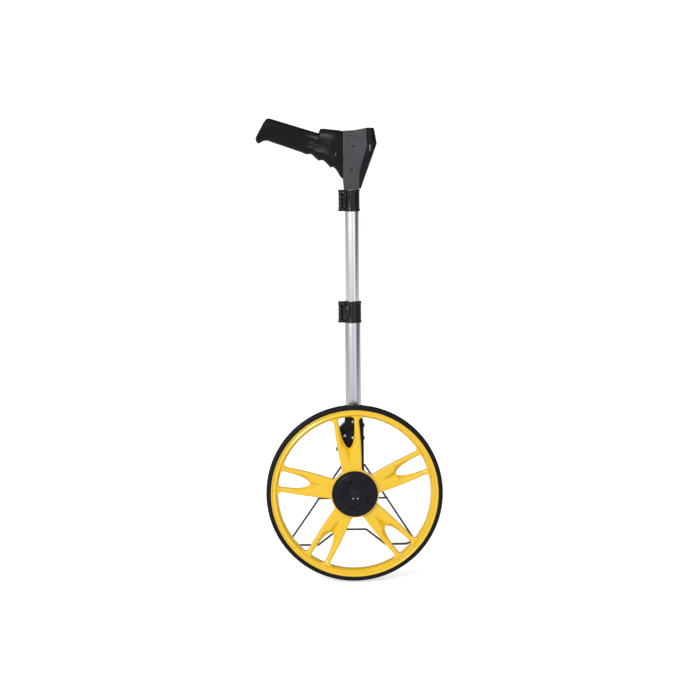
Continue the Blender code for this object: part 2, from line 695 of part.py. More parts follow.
def make_head(lean):
    """Housing with the electronics, display bezel above it and battery door ahead of it."""
    depth = HEAD_HALF
    housing_line = [(-16.1, 643.4), (27.3, 634.2), (28.0, 626), (14.0, 577), (14.0, 544.9)]
    housing_line += [(-13.9, 544.9), (-16.1, 562)]
    housing = slab("head_housing", [housing_line], POLE_Y - depth, POLE_Y + depth)
    shape_depth(housing, depth, head_width, HEAD_LEVELS, 1)
    finish(housing, "grey", lean)
    hollow_line = [(-13.8, 650), (25.0, 650), (25.3, 626), (13.0, 583), (-13.0, 583), (-13.8, 600)]
    inside = depth - SHELL_WALL
    hollow = slab("head_hollow", [hollow_line], POLE_Y - inside, POLE_Y + inside)
    shape_depth(hollow, inside, lambda z: head_width(z) - SHELL_WALL, HEAD_LEVELS, 1)
    combine(housing, cutter(hollow, lean))
    socket = rod("tube_socket", TOP_TUBE_RADIUS + GAP, 540, 590, "Z", (0, POLE_Y, 0), 28)
    combine(housing, cutter(socket, lean))

    bezel_line = [(-16.1, 649.3), (-4.5, 648.6), (0, 649.6), (27.3, 654.3), (27.3, 634.5), (-16.1, 643.7)]
    bezel = slab("display_bezel", [bezel_line], POLE_Y - depth, POLE_Y + depth)
    shape_depth(bezel, depth, head_width, (), 1)
    finish(bezel, "grey", lean)
    slope = (654.3 - 649.6) / 27.3
    screen = empty("screen_frame", (13.5, POLE_Y, 649.6 + slope * 13.5), lean)
    screen.rotation_euler.y = -slope
    recess = box("screen_recess", (-11.5, -22.5, -3.4), (11.5, 22.5, 3))
    combine(bezel, cutter(recess, screen))
    finish(box("display_window", (-11.1, -22.1, -1.6), (11.1, 22.1, -0.3)), "glass", screen)
    finish(box("lcd_panel", (-10.6, -21.6, -3.1), (10.6, 21.6, -1.9)), "display", screen)

    door_axis = empty("door_axis", (28.0, POLE_Y, 630), lean)
    door_line = [(27.6, 654.5), (39.5, 654.4), (41.1, 652), (45.4, 626.7), (44.7, 623)]
    door_line += [(16.6, 547.0), (14.3, 547.0), (14.3, 577.2), (28.3, 626)]
    moved = [(x - 28.0, z - 630) for x, z in door_line]
    door = slab("battery_door", [moved], POLE_Y - depth, POLE_Y + depth)
    shape_depth(door, depth, lambda z: head_width(z + 630), [z - 630 for z in HEAD_LEVELS], 1)
    door.location.y = 0
    finish(door, "black", door_axis)
    room = box("door_hollow", (-4.0, -inside, -10.0), (11.0, inside, 20.0))
    combine(door, cutter(room, door_axis))
    latch_low, latch_high = (3.0, -depth - 1.5, -14.0), (6.2, -depth - GAP, -5.5)
    finish(box("door_latch", latch_low, latch_high, bevel=0.5), "steel", door_axis)

    finish(box("main_board", (-12, POLE_Y - 24, 630), (20, POLE_Y + 24, 631.6)), "board", lean)
    for number, (x, z) in enumerate(((13.5, 614.0), (9.5, 601.5)), 1):
        cell = [(0, 22.2), (1.8, 22.2), (1.8, 21.4), (5.2, 21.4), (5.2, -22.2), (0, -22.2)]
        finish(turned(f"battery_{number}", cell, at=(x, POLE_Y, z), steps=20), "steel", lean)


# ---------------------------------------------------------------- assembly
def main():
    clear_scene()
    lean = lean_frame()
    axle = empty("wheel_axis", parent=lean)
    make_tyre(axle)
    make_rim(axle)
    make_hub_cover(axle)
    make_bearings(axle, lean)
    make_axle(lean)
    make_fork(lean)
    make_tubes(lean)
    make_clamp("lower", LOWER_CLAMP_BASE, LOWER_TUBE_RADIUS, MIDDLE_TUBE_RADIUS, 16.3, 21.6, lean)
    make_clamp("upper", UPPER_CLAMP_BASE, MIDDLE_TUBE_RADIUS, TOP_TUBE_RADIUS, 14.8, 19.9, lean)
    make_stand(lean)
    make_grip(lean)
    make_keys(lean)
    make_head(lean)


main()
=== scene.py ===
"""The looks of a digital measuring wheel: yellow spoked wheel, telescopic pole, wire stand, pistol grip.

Shapes are worked out in the instrument's own frame, in millimetres: origin at the wheel's centre, X ahead
of the user, Y along the axle away from the wheel's face, Z up the pole. The frame's joints say how it stands
in the world.
"""

import json

import bmesh
import bpy
import numpy as np
from mathutils import Matrix, Vector


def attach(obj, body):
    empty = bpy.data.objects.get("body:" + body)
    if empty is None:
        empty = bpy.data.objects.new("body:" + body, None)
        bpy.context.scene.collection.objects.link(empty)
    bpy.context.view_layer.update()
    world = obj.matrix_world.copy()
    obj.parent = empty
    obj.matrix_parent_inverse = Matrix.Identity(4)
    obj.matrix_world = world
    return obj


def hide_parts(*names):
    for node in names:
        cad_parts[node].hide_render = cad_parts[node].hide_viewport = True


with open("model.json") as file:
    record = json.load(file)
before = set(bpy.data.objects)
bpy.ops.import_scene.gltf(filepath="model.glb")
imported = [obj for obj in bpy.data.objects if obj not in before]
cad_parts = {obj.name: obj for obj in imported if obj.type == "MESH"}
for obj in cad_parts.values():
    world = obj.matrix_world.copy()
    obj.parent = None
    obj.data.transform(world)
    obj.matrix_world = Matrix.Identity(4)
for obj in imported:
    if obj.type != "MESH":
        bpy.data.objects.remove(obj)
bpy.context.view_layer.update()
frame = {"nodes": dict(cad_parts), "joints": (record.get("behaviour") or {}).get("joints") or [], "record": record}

MM = 0.001
TAU = 2 * np.pi
JOINTS = {joint["name"]: joint for joint in frame["joints"]}
AXLE_POINT = np.array(JOINTS["wheel_spin"]["pos_m"], float)
INSTRUMENT = np.array([(1, 0, 0), JOINTS["wheel_spin"]["axis"], JOINTS["lower_stage_slide"]["axis"]], float)

# Sizes shared with the frame, in millimetres and degrees.
TYRE_STEPS = 70
TYRE_RADIUS = 1000 / TAU * np.cos(np.pi / TYRE_STEPS)
TYRE_HALF, TREAD_HALF = 10.25, 5.8
RIM_RADIUS, RIM_INNER, RIM_HALF = 151.6, 138.4, 11.0
HUB_RING, HUB_FRONT, COVER_RADIUS = 43.7, -13.0, 41.3
SPOKE_START, SPOKES = 24.2, 5
SLOT_APEX = 82.0
POLE_Y, FORK_FRONT, FORK_BACK = 32.0, 15.6, 48.4
PIVOT_Y, PIVOT_Z, STAND_LEG, STAND_WIRE = 51.0, 44.0, 197.0, 1.9
STAND_OPENING, STAND_FOOT, STAND_SHOULDER = 33.66, 121.0, 20.4
LOWER_BASE, UPPER_BASE, CLAMP_HEIGHT = 305.2, 505.6, 38.6
SCREW_CIRCLE, SCREW_START = 24.5, 41
HEAD_BACK, HEAD_FLOOR, KEY_FALL, DISPLAY_RISE = -15.7, 544.9, 0.1122, 0.1722
GRIP_HALF = 17.0


# ---------------------------------------------------------------- surface makers
def to_world(points):
    """Instrument millimetres to world metres."""
    return AXLE_POINT + (np.asarray(points, float) * MM) @ INSTRUMENT


def ease(t):
    """0 below 0, 1 above 1, and a smooth cubic between."""
    t = np.clip(t, 0, 1)
    return t * t * (3 - 2 * t)


def grid(points, wrap_rows=False, wrap_columns=True, caps=False):
    """A sheet through a (rows, columns, 3) array of points, wrapped round either way; caps closes the first
    and last row with one face each. Returns (points, faces)."""
    rows, columns = points.shape[:2]
    i = np.arange(rows if wrap_rows else rows - 1)[:, None]
    j = np.arange(columns if wrap_columns else columns - 1)[None, :]
    a, b = i * columns, (i + 1) % rows * columns
    k = (j + 1) % columns
    faces = np.stack([a + j, a + k, b + k, b + j], -1).reshape(-1, 4).tolist()
    if caps:
        faces.append(list(range(columns))[::-1])
        faces.append(list(range((rows - 1) * columns, rows * columns)))
    return points.reshape(-1, 3), faces


def together(*parts):
    """Several (points, faces) pairs as one."""
    points, faces, count = [], [], 0
    for some_points, some_faces in parts:
        points.append(some_points)
        faces += [[n + count for n in face] for face in some_faces]
        count += len(some_points)
    return np.concatenate(points), faces


def piece(name, shape, finish, body, replaced=(), sharp=38):
    """A finished object from (points, faces): welded, facing out, smooth up to the sharp angle."""
    points, faces = shape
    mesh = bpy.data.meshes.new(name)
    mesh.from_pydata(to_world(points).tolist(), [], faces)
    work = bmesh.new()
    work.from_mesh(mesh)
    bmesh.ops.remove_doubles(work, verts=work.verts, dist=0.000002)
    bmesh.ops.dissolve_degenerate(work, dist=0.0000005, edges=work.edges)
    bmesh.ops.recalc_face_normals(work, faces=work.faces)
    work.to_mesh(mesh)
    work.free()
    mesh.shade_smooth()
    mesh.set_sharp_from_angle(angle=np.radians(sharp))
    mesh.materials.append(finish)
    made = bpy.data.objects.new(name, mesh)
    bpy.context.scene.collection.objects.link(made)
    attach(made, body)
    if replaced:
        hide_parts(*replaced)
    return made


def carve(made, shape, sharp=38):
    """Takes the (points, faces) solid out of a finished piece."""
    points, faces = shape
    mesh = bpy.data.meshes.new("cutter")
    mesh.from_pydata(to_world(points).tolist(), [], faces)
    work = bmesh.new()
    work.from_mesh(mesh)
    bmesh.ops.recalc_face_normals(work, faces=work.faces)
    work.to_mesh(mesh)
    work.free()
    cutter = bpy.data.objects.new("cutter", mesh)
    bpy.context.scene.collection.objects.link(cutter)
    step = made.modifiers.new("carve", "BOOLEAN")
    step.operation, step.solver, step.object = "DIFFERENCE", "EXACT", cutter
    bpy.context.view_layer.update()
    result = bpy.data.meshes.new_from_object(made.evaluated_get(bpy.context.evaluated_depsgraph_get()))
    made.modifiers.remove(step)
    made.data = result
    result.set_sharp_from_angle(angle=np.radians(sharp))
    bpy.data.objects.remove(cutter)


def block(low, high):
    """A box between two corners."""
    outline = [(low[0], low[2]), (high[0], low[2]), (high[0], high[2]), (low[0], high[2])]
    rings = [[(x, y, z) for x, z in outline] for y in (low[1], high[1])]
    return grid(np.array(rings, float), caps=True)


def fillet(corners, radii, steps=5):
    """A closed outline with each corner rounded: the arc is tangent to both sides, its centre lies on the
    corner's bisector at radius / sin(half angle)."""
    corners = np.asarray(corners, float)
    radii = np.broadcast_to(radii, len(corners))
    outline = []
    ahead, behind = np.roll(corners, -1, 0), np.roll(corners, 1, 0)
    for before, corner, after, radius in zip(behind, corners, ahead, radii):
        a, b = before - corner, after - corner
        room = 0.49 * min(np.linalg.norm(a), np.linalg.norm(b))
        a, b = a / np.linalg.norm(a), b / np.linalg.norm(b)
        half = np.arccos(np.clip(a @ b, -1, 1)) / 2
        if radius <= 0 or half > 1.55:
            outline.append(corner[None])
            continue
        reach = min(radius / np.tan(half), room)
        radius = reach * np.tan(half)
        centre = corner + (a + b) / np.linalg.norm(a + b) * radius / np.sin(half)
        start, end = corner + a * reach - centre, corner + b * reach - centre
        angle = np.arccos(np.clip(start @ end / radius**2, -1, 1))
        share = np.linspace(0, 1, steps + 1)[:, None]
        arc = (np.sin((1 - share) * angle) * start + np.sin(share * angle) * end) / np.sin(angle)
        outline.append(centre + arc)
    return np.concatenate(outline)


def inset(outline, distance):
    """The closed outline moved inwards along the bisector at each point."""
    forward = np.roll(outline, -1, 0) - outline
    forward /= np.linalg.norm(forward, axis=1, keepdims=True) + 1e-12
    backward = np.roll(forward, 1, 0)
    area = np.sum(outline[:, 0] * np.roll(outline[:, 1], -1) - np.roll(outline[:, 0], -1) * outline[:, 1])
    normal = np.stack([-(forward + backward)[:, 1], (forward + backward)[:, 0]], 1) * np.sign(area)
    length = np.linalg.norm(normal, axis=1, keepdims=True) + 1e-12
    spread = np.clip(length / 2, 0.5, 1)
    return outline + normal / length / spread * distance


def plate(outline, low, high, edge=1.0, steps=3, both=True):
    """A flat piece: the (x, z) outline between two depths along Y, its rims rounded as quarter circles.
    Without both, the far rim stays sharp."""
    turn = np.linspace(0, np.pi / 2, steps + 1)
    levels = [(edge * (1 - np.sin(a)), low + edge * (1 - np.cos(a))) for a in turn]
    far = [(edge * (1 - np.sin(a)), high - edge * (1 - np.cos(a))) for a in turn[::-1]]
    levels += far if both else [(0.0, high)]
    rings = []
    for shrink, depth in levels:
        ring = inset(outline, shrink)
        rings.append(np.stack([ring[:, 0], np.full(len(ring), depth), ring[:, 1]], 1))
    return grid(np.array(rings), caps=True)


def upright(shape):
    """A plate drawn in plan: its (x, z) outline becomes (x, y), and its depth becomes height."""
    points, faces = shape
    return np.stack([points[:, 0], points[:, 2], points[:, 1]], 1), faces


def shifted(shape, x=0.0, y=0.0, z=0.0):
    points, faces = shape
    return points + np.array([x, y, z]), faces


def tilted(shape, centre, slope):
    """A shape drawn flat (z up, x ahead) moved to centre, with x rising along the slope."""
    points, faces = shape
    run = np.array([1, 0, slope]) / np.hypot(1, slope)
    normal = np.array([-slope, 0, 1]) / np.hypot(1, slope)
    across = np.array([0, 1.0, 0])
    return np.array(centre) + points[:, :1] * run + points[:, 1:2] * across + points[:, 2:] * normal, faces


def revolve(profile, steps=96, along="y", at=(0, 0, 0), closed=True):
    """The (radius, height) profile carried once round the axis through at."""
    profile = np.asarray(profile, float)
    angle = np.arange(steps)[:, None] / steps * TAU
    radius, height = profile[None, :, 0], profile[None, :, 1] + 0 * angle
    across, up = radius * np.cos(angle), radius * np.sin(angle)
    order = (across, height, up) if along == "y" else (across, up, height)
    points = np.stack(order, -1) + np.array(at, float)
    return grid(points, wrap_rows=True, wrap_columns=closed)


def ring_profile(outer, inner, low, high, edge):
    """A rectangular ring section with rounded corners."""
    return fillet([(outer, high), (outer, low), (inner, low), (inner, high)], edge, 3)


def tube_along(path, radius, sides=18):
    """A round wire along a path in one plane: each circle is spanned by the plane's normal and the path's
    in-plane normal."""
    ahead = np.gradient(path, axis=0)
    ahead /= np.linalg.norm(ahead, axis=1, keepdims=True)
    normal = np.cross(path[1] - path[0], path[len(path) // 3] - path[0])
    normal /= np.linalg.norm(normal)
    side = np.cross(ahead, normal)
    angle = np.arange(sides) / sides * TAU
    ring = side[:, None] * np.cos(angle)[None, :, None] + normal * np.sin(angle)[None, :, None]
    return grid(path[:, None] + radius * ring, caps=True)


# ---------------------------------------------------------------- materials
def shader(name):
    """A new material, its node tree and its main shader node."""
    made = bpy.data.materials.new(name)
    made.use_nodes = True
    tree = made.node_tree
    return made, tree, tree.nodes["Principled BSDF"]


def fill(node, values):
    """Sets a node's inputs by name."""
    for label, value in values.items():
        node.inputs[label].default_value = value


def surface_group():
    """Shared finish of the instrument but its glass: a fine grain for the bump, a broad drift in colour, and
    a roughness that wanders by patches. Drift and Wander are how far each one strays."""
    group = bpy.data.node_groups.new("surface_finish", "ShaderNodeTree")
    group.interface.new_socket("Colour", in_out="INPUT", socket_type="NodeSocketColor")
    for label in ("Roughness", "Grain size", "Drift", "Wander"):
        group.interface.new_socket(label, in_out="INPUT", socket_type="NodeSocketFloat")
    for label, kind in (("Colour", "Color"), ("Roughness", "Float"), ("Height", "Float")):
        group.interface.new_socket(label, in_out="OUTPUT", socket_type=f"NodeSocket{kind}")
    nodes, links = group.nodes, group.links
    given, result = nodes.new("NodeGroupInput").outputs, nodes.new("NodeGroupOutput").inputs
    place = nodes.new("ShaderNodeTexCoord").outputs["Object"]

    def noise(detail, scale=None):
        made = nodes.new("ShaderNodeTexNoise")
        made.inputs["Detail"].default_value = detail
        links.new(place, made.inputs["Vector"])
        if scale:
            made.inputs["Scale"].default_value = scale
        else:
            links.new(given["Grain size"], made.inputs["Scale"])
        return made.outputs["Fac"]

    def maths(operation, *values):
        made = nodes.new("ShaderNodeMath")
        made.operation = operation
        for socket, value in zip(made.inputs, values):
            if isinstance(value, float):
                socket.default_value = value
            else:
                links.new(value, socket)
        return made.outputs[0]

    drift = maths("MULTIPLY_ADD", maths("SUBTRACT", noise(4, 9), 0.5), given["Drift"], 1.0)
    tint = nodes.new("ShaderNodeVectorMath")
    tint.operation = "SCALE"
    links.new(given["Colour"], tint.inputs[0])
    links.new(drift, tint.inputs["Scale"])
    links.new(tint.outputs[0], result["Colour"])
    mottle = maths("SUBTRACT", noise(5, 120), 0.5)
    links.new(maths("MULTIPLY_ADD", mottle, given["Wander"], given["Roughness"]), result["Roughness"])
    links.new(noise(3), result["Height"])
    return group


SURFACE = surface_group()


def finish(
    name, colour, roughness, grain=1500, bump=0.15, drift=0.12, wander=0.12, metallic=0.0, coat=0.0,
    gloss=0.5,
):
    """A moulded, drawn or plated finish on the shared surface group."""
    made, tree, principled = shader(name)
    group = tree.nodes.new("ShaderNodeGroup")
    group.node_tree = SURFACE
    fill(group, {"Colour": (*colour, 1), "Roughness": roughness, "Grain size": grain})
    fill(group, {"Drift": drift, "Wander": wander})
    relief = tree.nodes.new("ShaderNodeBump")
    fill(relief, {"Strength": bump, "Distance": 0.0002})
    tree.links.new(group.outputs["Height"], relief.inputs["Height"])
    tree.links.new(relief.outputs["Normal"], principled.inputs["Normal"])
    tree.links.new(group.outputs["Colour"], principled.inputs["Base Color"])
    tree.links.new(group.outputs["Roughness"], principled.inputs["Roughness"])
    fill(principled, {"Metallic": metallic, "Specular IOR Level": gloss})
    fill(principled, {"Coat Weight": coat, "Coat Roughness": 0.15})
    return made


def glass_finish(name):
    made, _, principled = shader(name)
    fill(principled, {"Base Color": (0.75, 0.8, 0.8, 1), "Roughness": 0.04})
    fill(principled, {"Transmission Weight": 0.9, "IOR": 1.46})
    return made


YELLOW = finish(
    "yellow_moulding", (0.80, 0.50, 0.017), 0.26, grain=900, bump=0.04, drift=0.06, wander=0.1, coat=0.35
)
RUBBER = finish(
    "tyre_rubber", (0.004, 0.004, 0.006), 0.45, grain=2600, bump=0.3, drift=0.3, wander=0.2, gloss=0.18
)
BLACK = finish(
    "black_moulding", (0.004, 0.004, 0.006), 0.32, grain=2200, bump=0.25, drift=0.2, wander=0.15, gloss=0.22
)
CLAMP = finish(
    "clamp_moulding", (0.004, 0.004, 0.007), 0.22, grain=2000, bump=0.1, drift=0.2, wander=0.1, gloss=0.45
)
HUB_BLACK = finish(
    "hub_moulding", (0.005, 0.005, 0.009), 0.28, grain=1800, bump=0.15, drift=0.2, wander=0.12, gloss=0.2
)
GRIP = finish(
    "grip_moulding", (0.003, 0.003, 0.004), 0.34, grain=1600, bump=0.3, drift=0.25, wander=0.18, gloss=0.17
)
GREY = finish(
    "housing_moulding", (0.026, 0.026, 0.034), 0.33, grain=2000, bump=0.2, gloss=0.8
)
ALUMINIUM = finish(
    "anodised_tube", (0.66, 0.66, 0.72), 0.24, grain=2500, bump=0.08, drift=0.05, wander=0.12, metallic=0.95
)
# The lower tube's aluminium made lighter for the middle and top tubes, so that they show a brighter highlight:
# painted light.
ALUMINIUM_PAINTED_LIGHTER = finish(
    "tube_painted_lighter", (0.84, 0.85, 0.9), 0.22, grain=2500, bump=0.05, drift=0.04, wander=0.1, metallic=0.95
)
DARK_STEEL = finish("blackened_steel", (0.035, 0.035, 0.04), 0.2, grain=1200, bump=0.05, metallic=1.0)
STEEL = finish(
    "plated_steel", (0.5, 0.5, 0.52), 0.28, grain=1200, bump=0.05, drift=0.06, wander=0.1, metallic=1.0
)
# The door latch's own metal coating; it is also used on the grip's small side tab, where its light colour is a
# painted highlight.
LATCH_AND_GLINT = finish("latch_coating_and_glint", (0.16, 0.16, 0.17), 0.35, grain=1200, bump=0.05, metallic=0.7)
WIRE = finish(
    "stand_wire_steel", (0.11, 0.105, 0.105), 0.34, grain=900, bump=0.1, drift=0.3, wander=0.2, metallic=0.9
)
BOARD = finish("circuit_laminate", (0.01, 0.12, 0.04), 0.45, grain=700, bump=0.2)
DISPLAY = finish("display_panel", (0.3, 0.35, 0.28), 0.3, grain=500, bump=0.02, drift=0.04)
CELL = finish("cell_jacket", (0.05, 0.16, 0.28), 0.3, grain=600, bump=0.03)
MARK = finish("key_print", (0.55, 0.56, 0.58), 0.5, grain=900, bump=0.02)
MARK_DARK = finish("figure_print", (0.015, 0.018, 0.015), 0.4, grain=900, bump=0.02)
GLASS = glass_finish("display_glass")
CAD_FINISH = {
    "tyre_rubber": RUBBER,
    "wheel_yellow": YELLOW,
    "hub_black": HUB_BLACK,
    "body_black": BLACK,
    "grip_black": GRIP,
    "housing_grey": GREY,
    "tube_aluminium": ALUMINIUM,
    "bright_steel": STEEL,
    "stand_wire": WIRE,
    "board_green": BOARD,
    "display_glass": GLASS,
    "display_panel": DISPLAY,
    "battery_skin": CELL,
}


# ---------------------------------------------------------------- wheel
def half_spoke(side, angle):
    """One branch of a twin spoke. Along it runs the true radius, across it the distance from the spoke's
    middle line: the outer edge widens like an inverted parabola, both edges flare into the rim as quarter
    circles, the inner edge is a slot whose half width rises as a power of 1 - exp(-distance past its apex),
    and a valley in the front face runs from the apex back towards the hub, deepest near the apex."""
    def flare(size):
        """A quarter circle of this radius, ending where the branch meets the rim."""
        return size - np.sqrt(size**2 - np.clip(radius - (RIM_INNER - size - 0.2), 0, size) ** 2)

    radius = np.concatenate([np.linspace(32, 76, 30), np.linspace(77, 92, 34), np.linspace(93, 140.5, 40)])
    radius = radius[:, None]
    spread = np.clip((radius - HUB_RING) / 82, -0.1, 1)
    outer = 17.3 + 5.2 * (1 - (1 - spread) ** 2) + flare(9)
    outer = outer + 1.6 * (1 - ease((radius - HUB_RING) / 4))
    past = np.clip(radius - SLOT_APEX, 0, None)
    inner = 15.7 * (1 - np.exp(-past / 26)) ** 0.62
    inner = np.where(past > 0, np.maximum(inner - flare(5), 0), 0)
    width = outer - inner
    across = np.linspace(0, 1, 31)[None, :]
    reach = width * (across - 0.1 * np.sin(TAU * across))
    valley_width = 1.0 + 8.2 * ease((radius - 46) / 38) - 4.5 * ease((radius - 86) / 30)
    valley_depth = 7.5 * ease((radius - 48) / 36) * (1 - 0.8 * ease((radius - 84) / 40))
    slope = np.clip(reach / valley_width, 0, 1)
    front = -9.4 + valley_depth * (1 - slope**1.5 * (2.5 - 1.5 * slope))
    front = front - 1.2 * ease((radius - 128) / 12)
    corner = np.clip((reach - (width - 2.6)) / 2.6, 0, 1)
    front = front + 2.6 * (1 - np.sqrt(1 - corner**2 * 0.998))
    slot_corner = np.clip(1 - reach / 1.8, 0, 1) * ease(past / 4)
    front = front + 1.8 * (1 - np.sqrt(1 - slot_corner**2 * 0.998))
    back = np.full_like(radius, 4.0)
    wall = 2.2 * ease(past / 3) * ease((140 - radius) / 6)
    floor = back - 2.6 * ease((radius - 48) / 2) * ease((136.5 - radius) / 2)
    lip = floor + (back - floor) * ease(past / 3)
    wall = inner + wall
    v = [inner + reach, outer, outer, outer - 1.6, outer - 2.3, wall + 0.5, wall, inner, inner]
    y = [front, front[:, -1:] + 2.2, back, back, floor, floor, lip, lip, front[:, :1] + 2.0]
    v, y = np.concatenate(v, 1), np.concatenate(y, 1)
    u = np.sqrt(radius**2 - np.clip(v, 0, radius) ** 2)
    turn = np.radians(angle)
    v = v * side
    points = np.stack([u * np.cos(turn) - v * np.sin(turn), y, u * np.sin(turn) + v * np.cos(turn)], -1)
    return grid(points, caps=True)


def wheel_casting():
    """Rim, hub and twin spokes. The rim's front has a bead outside, a raised band, and a chamfer inside."""
    rim = fillet(
        [
            (RIM_RADIUS, -9.9), (150.8, -RIM_HALF), (149.0, -RIM_HALF), (147.8, -9.2), (146.2, -9.0),
            (143.6, -10.4), (142.0, -10.2), (139.4, -6.2), (138.2, -3.6), (138.0, -2), (137.6, 4),
            (137.2, 10.2), (138.0, RIM_HALF), (150.6, RIM_HALF), (RIM_RADIUS, 10.0), (RIM_RADIUS, 8.4),
            (149.2, 8.2), (149.2, -8.2), (RIM_RADIUS, -8.4),
        ],
        0.7, 3,
    )
    hub = fillet(
        [
            (HUB_RING, -9), (HUB_RING - 0.6, HUB_FRONT), (20, HUB_FRONT), (20, -12.6), (11.2, -12.6),
            (11.2, 10), (26, 10), (27.5, 4), (HUB_RING, 4),
        ],
        0.6, 3,
    )
    branches = [
        half_spoke(side, SPOKE_START + 360 / SPOKES * k) for k in range(SPOKES) for side in (-1, 1)
    ]
    return together(revolve(rim, 220), revolve(hub, 120), *branches)


def tyre_surface():
    """A solid tyre: flat tread with three shallow grooves, cross cuts over them, and sloping shoulders."""
    drop = (TYRE_HALF - TREAD_HALF) * 0.24
    bed, side = 149.5, RIM_RADIUS - 0.9
    edge = TYRE_RADIUS - drop
    crown = np.linspace(-TREAD_HALF - 0.4, TREAD_HALF + 0.4, 45)
    shoulder = [9.4, 10.05, TYRE_HALF, 11.2, 11.1, 8.1, 7.9]
    across = np.concatenate([[-y for y in shoulder[::-1]], crown, shoulder])
    tread = TYRE_RADIUS - drop * np.clip((np.abs(crown) - TREAD_HALF) / (TYRE_HALF - TREAD_HALF), 0, 1)
    low = [bed, side + 0.9, side, side + 0.3, edge - 1.4, edge - 0.35, edge + 0.1]
    radius = np.concatenate([low, tread, low[::-1]])
    steps = 560
    angle = np.arange(steps)[:, None] / steps * TAU
    grooves = sum(np.exp(-(((across - centre) / 0.33) ** 4)) for centre in (-3.4, 0.0, 3.4))
    cuts = np.exp(-(((np.arange(steps)[:, None] % 8 - 4) / 1.1) ** 4))
    cuts = cuts * (np.abs(across) < 5.4) * (np.abs(across) > 0.8)
    deep = 0.75 * np.maximum(np.where(np.abs(across) < TREAD_HALF, grooves, 0) + 0 * angle, 0.6 * cuts)
    r = radius[None, :] - deep
    points = np.stack([r * np.cos(angle), across[None, :] + 0 * angle, r * np.sin(angle)], -1)
    return grid(points, wrap_rows=True, wrap_columns=True)


def polar_disc(height, inner, outer, back, rings=80, steps=540):
    """A disc facing -Y: its front at height(radius, angle), a rounded rim, and a flat back."""
    radius = inner + (outer - inner) * np.linspace(0, 1, rings) ** 0.95
    radius = radius[None, :]
    angle = (np.arange(steps) / steps * TAU)[:, None]
    front = height(radius, angle)
    fall = np.clip((radius - (outer - 1.5)) / 1.5, 0, 1)
    front = front + 1.5 * (1 - np.sqrt(1 - 0.998 * fall**2))
    r = np.concatenate([radius + 0 * angle, np.full((steps, 1), outer), np.full((steps, 1), inner)], 1)
    y = np.concatenate([front, np.full((steps, 1), back), np.full((steps, 1), back)], 1)
    points = np.stack([r * np.cos(angle), y, r * np.sin(angle)], -1)
    return grid(points, wrap_rows=True, wrap_columns=True)


def cover_height(radius, angle):
    """Shallow dome with five each of radial ribs, screw wells and bosses, and a raised ring at the nut."""
    x, z = radius * np.cos(angle), radius * np.sin(angle)
    front = -17.0 + 1.3 * ease((radius - 24) / 16) + 0.5 * ease((radius - 34.5) / 0.8)
    for k in range(SPOKES):
        rib = np.radians(60 + 72 * k)
        along, side = x * np.cos(rib) + z * np.sin(rib), -x * np.sin(rib) + z * np.cos(rib)
        ends = ease((along - 17) / 2) * ease((39 - along) / 2)
        front = front - 1.1 * ease((0.75 - np.abs(side)) / 0.5) * ends
        well = np.radians(SCREW_START + 72 * k)
        away = np.hypot(x - SCREW_CIRCLE * np.cos(well), z - SCREW_CIRCLE * np.sin(well))
        lip = ease((4.6 - away) / 0.4) * ease((away - 3.4) / 0.3)
        front = front + 2.0 * ease((3.5 - away) / 0.5) - 0.35 * lip
        boss = np.radians(88 + 72 * k)
        away = np.hypot(x - 19 * np.cos(boss), z - 19 * np.sin(boss))
        front = front - 0.8 * ease((2.0 - away) / 0.6)
    return front - 0.6 * ease((13.5 - radius) / 0.6) * ease((radius - 10.6) / 0.4)


def screw_head(x, y, z, radius=2.9, deep=1.5):
    """A pan head with a cross recess, facing -Y: a low dome, sunk where either arm of the cross runs."""
    steps = 72
    r = (np.linspace(0, 1, 22) * radius)[None, :]
    a = (np.arange(steps) / steps * TAU)[:, None]
    dome = y - deep * np.sqrt(np.clip(1 - (r / radius) ** 2 * 0.75, 0, 1))
    across, up = r * np.cos(a), r * np.sin(a)
    arm = np.maximum(
        ease((0.5 - np.abs(across)) / 0.15) * ease((1.7 - np.abs(up)) / 0.2),
        ease((0.5 - np.abs(up)) / 0.15) * ease((1.7 - np.abs(across)) / 0.2),
    )
    depth = dome + 0.8 * arm
    across = np.concatenate([across, across[:, -1:]], 1)
    up = np.concatenate([up, up[:, -1:]], 1)
    depth = np.concatenate([depth, np.full((steps, 1), y)], 1)
    columns = depth.shape[1]
    points = np.stack([across, depth, up], -1) + np.array([x, 0.0, z])
    shape, faces = grid(points, wrap_rows=True, wrap_columns=False)
    faces.append([k * columns + columns - 1 for k in range(steps)])
    return shape, faces


def hexagon(across_flats, first=30):
    angle = np.radians(first + 60 * np.arange(6))
    return np.stack([np.cos(angle), np.sin(angle)], 1) * across_flats / np.sqrt(3)


def build_wheel():
    piece("wheel_casting", wheel_casting(), YELLOW, "wheel", ["wheel_rim"], sharp=42)
    piece("tyre_tread", tyre_surface(), RUBBER, "wheel", ["tyre"], sharp=50)
    cover = polar_disc(cover_height, 8.0, COVER_RADIUS, HUB_FRONT - 0.2)
    piece("hub_cover_disc", cover, HUB_BLACK, "wheel", ["hub_cover"])
    for k in range(SPOKES):
        angle = np.radians(SCREW_START + 72 * k)
        head = screw_head(SCREW_CIRCLE * np.cos(angle), -15.2, SCREW_CIRCLE * np.sin(angle), 2.6, 0.9)
        piece(f"hub_screw_head_{k + 1}", head, HUB_BLACK, "wheel", [f"hub_screw_{k + 1}"])


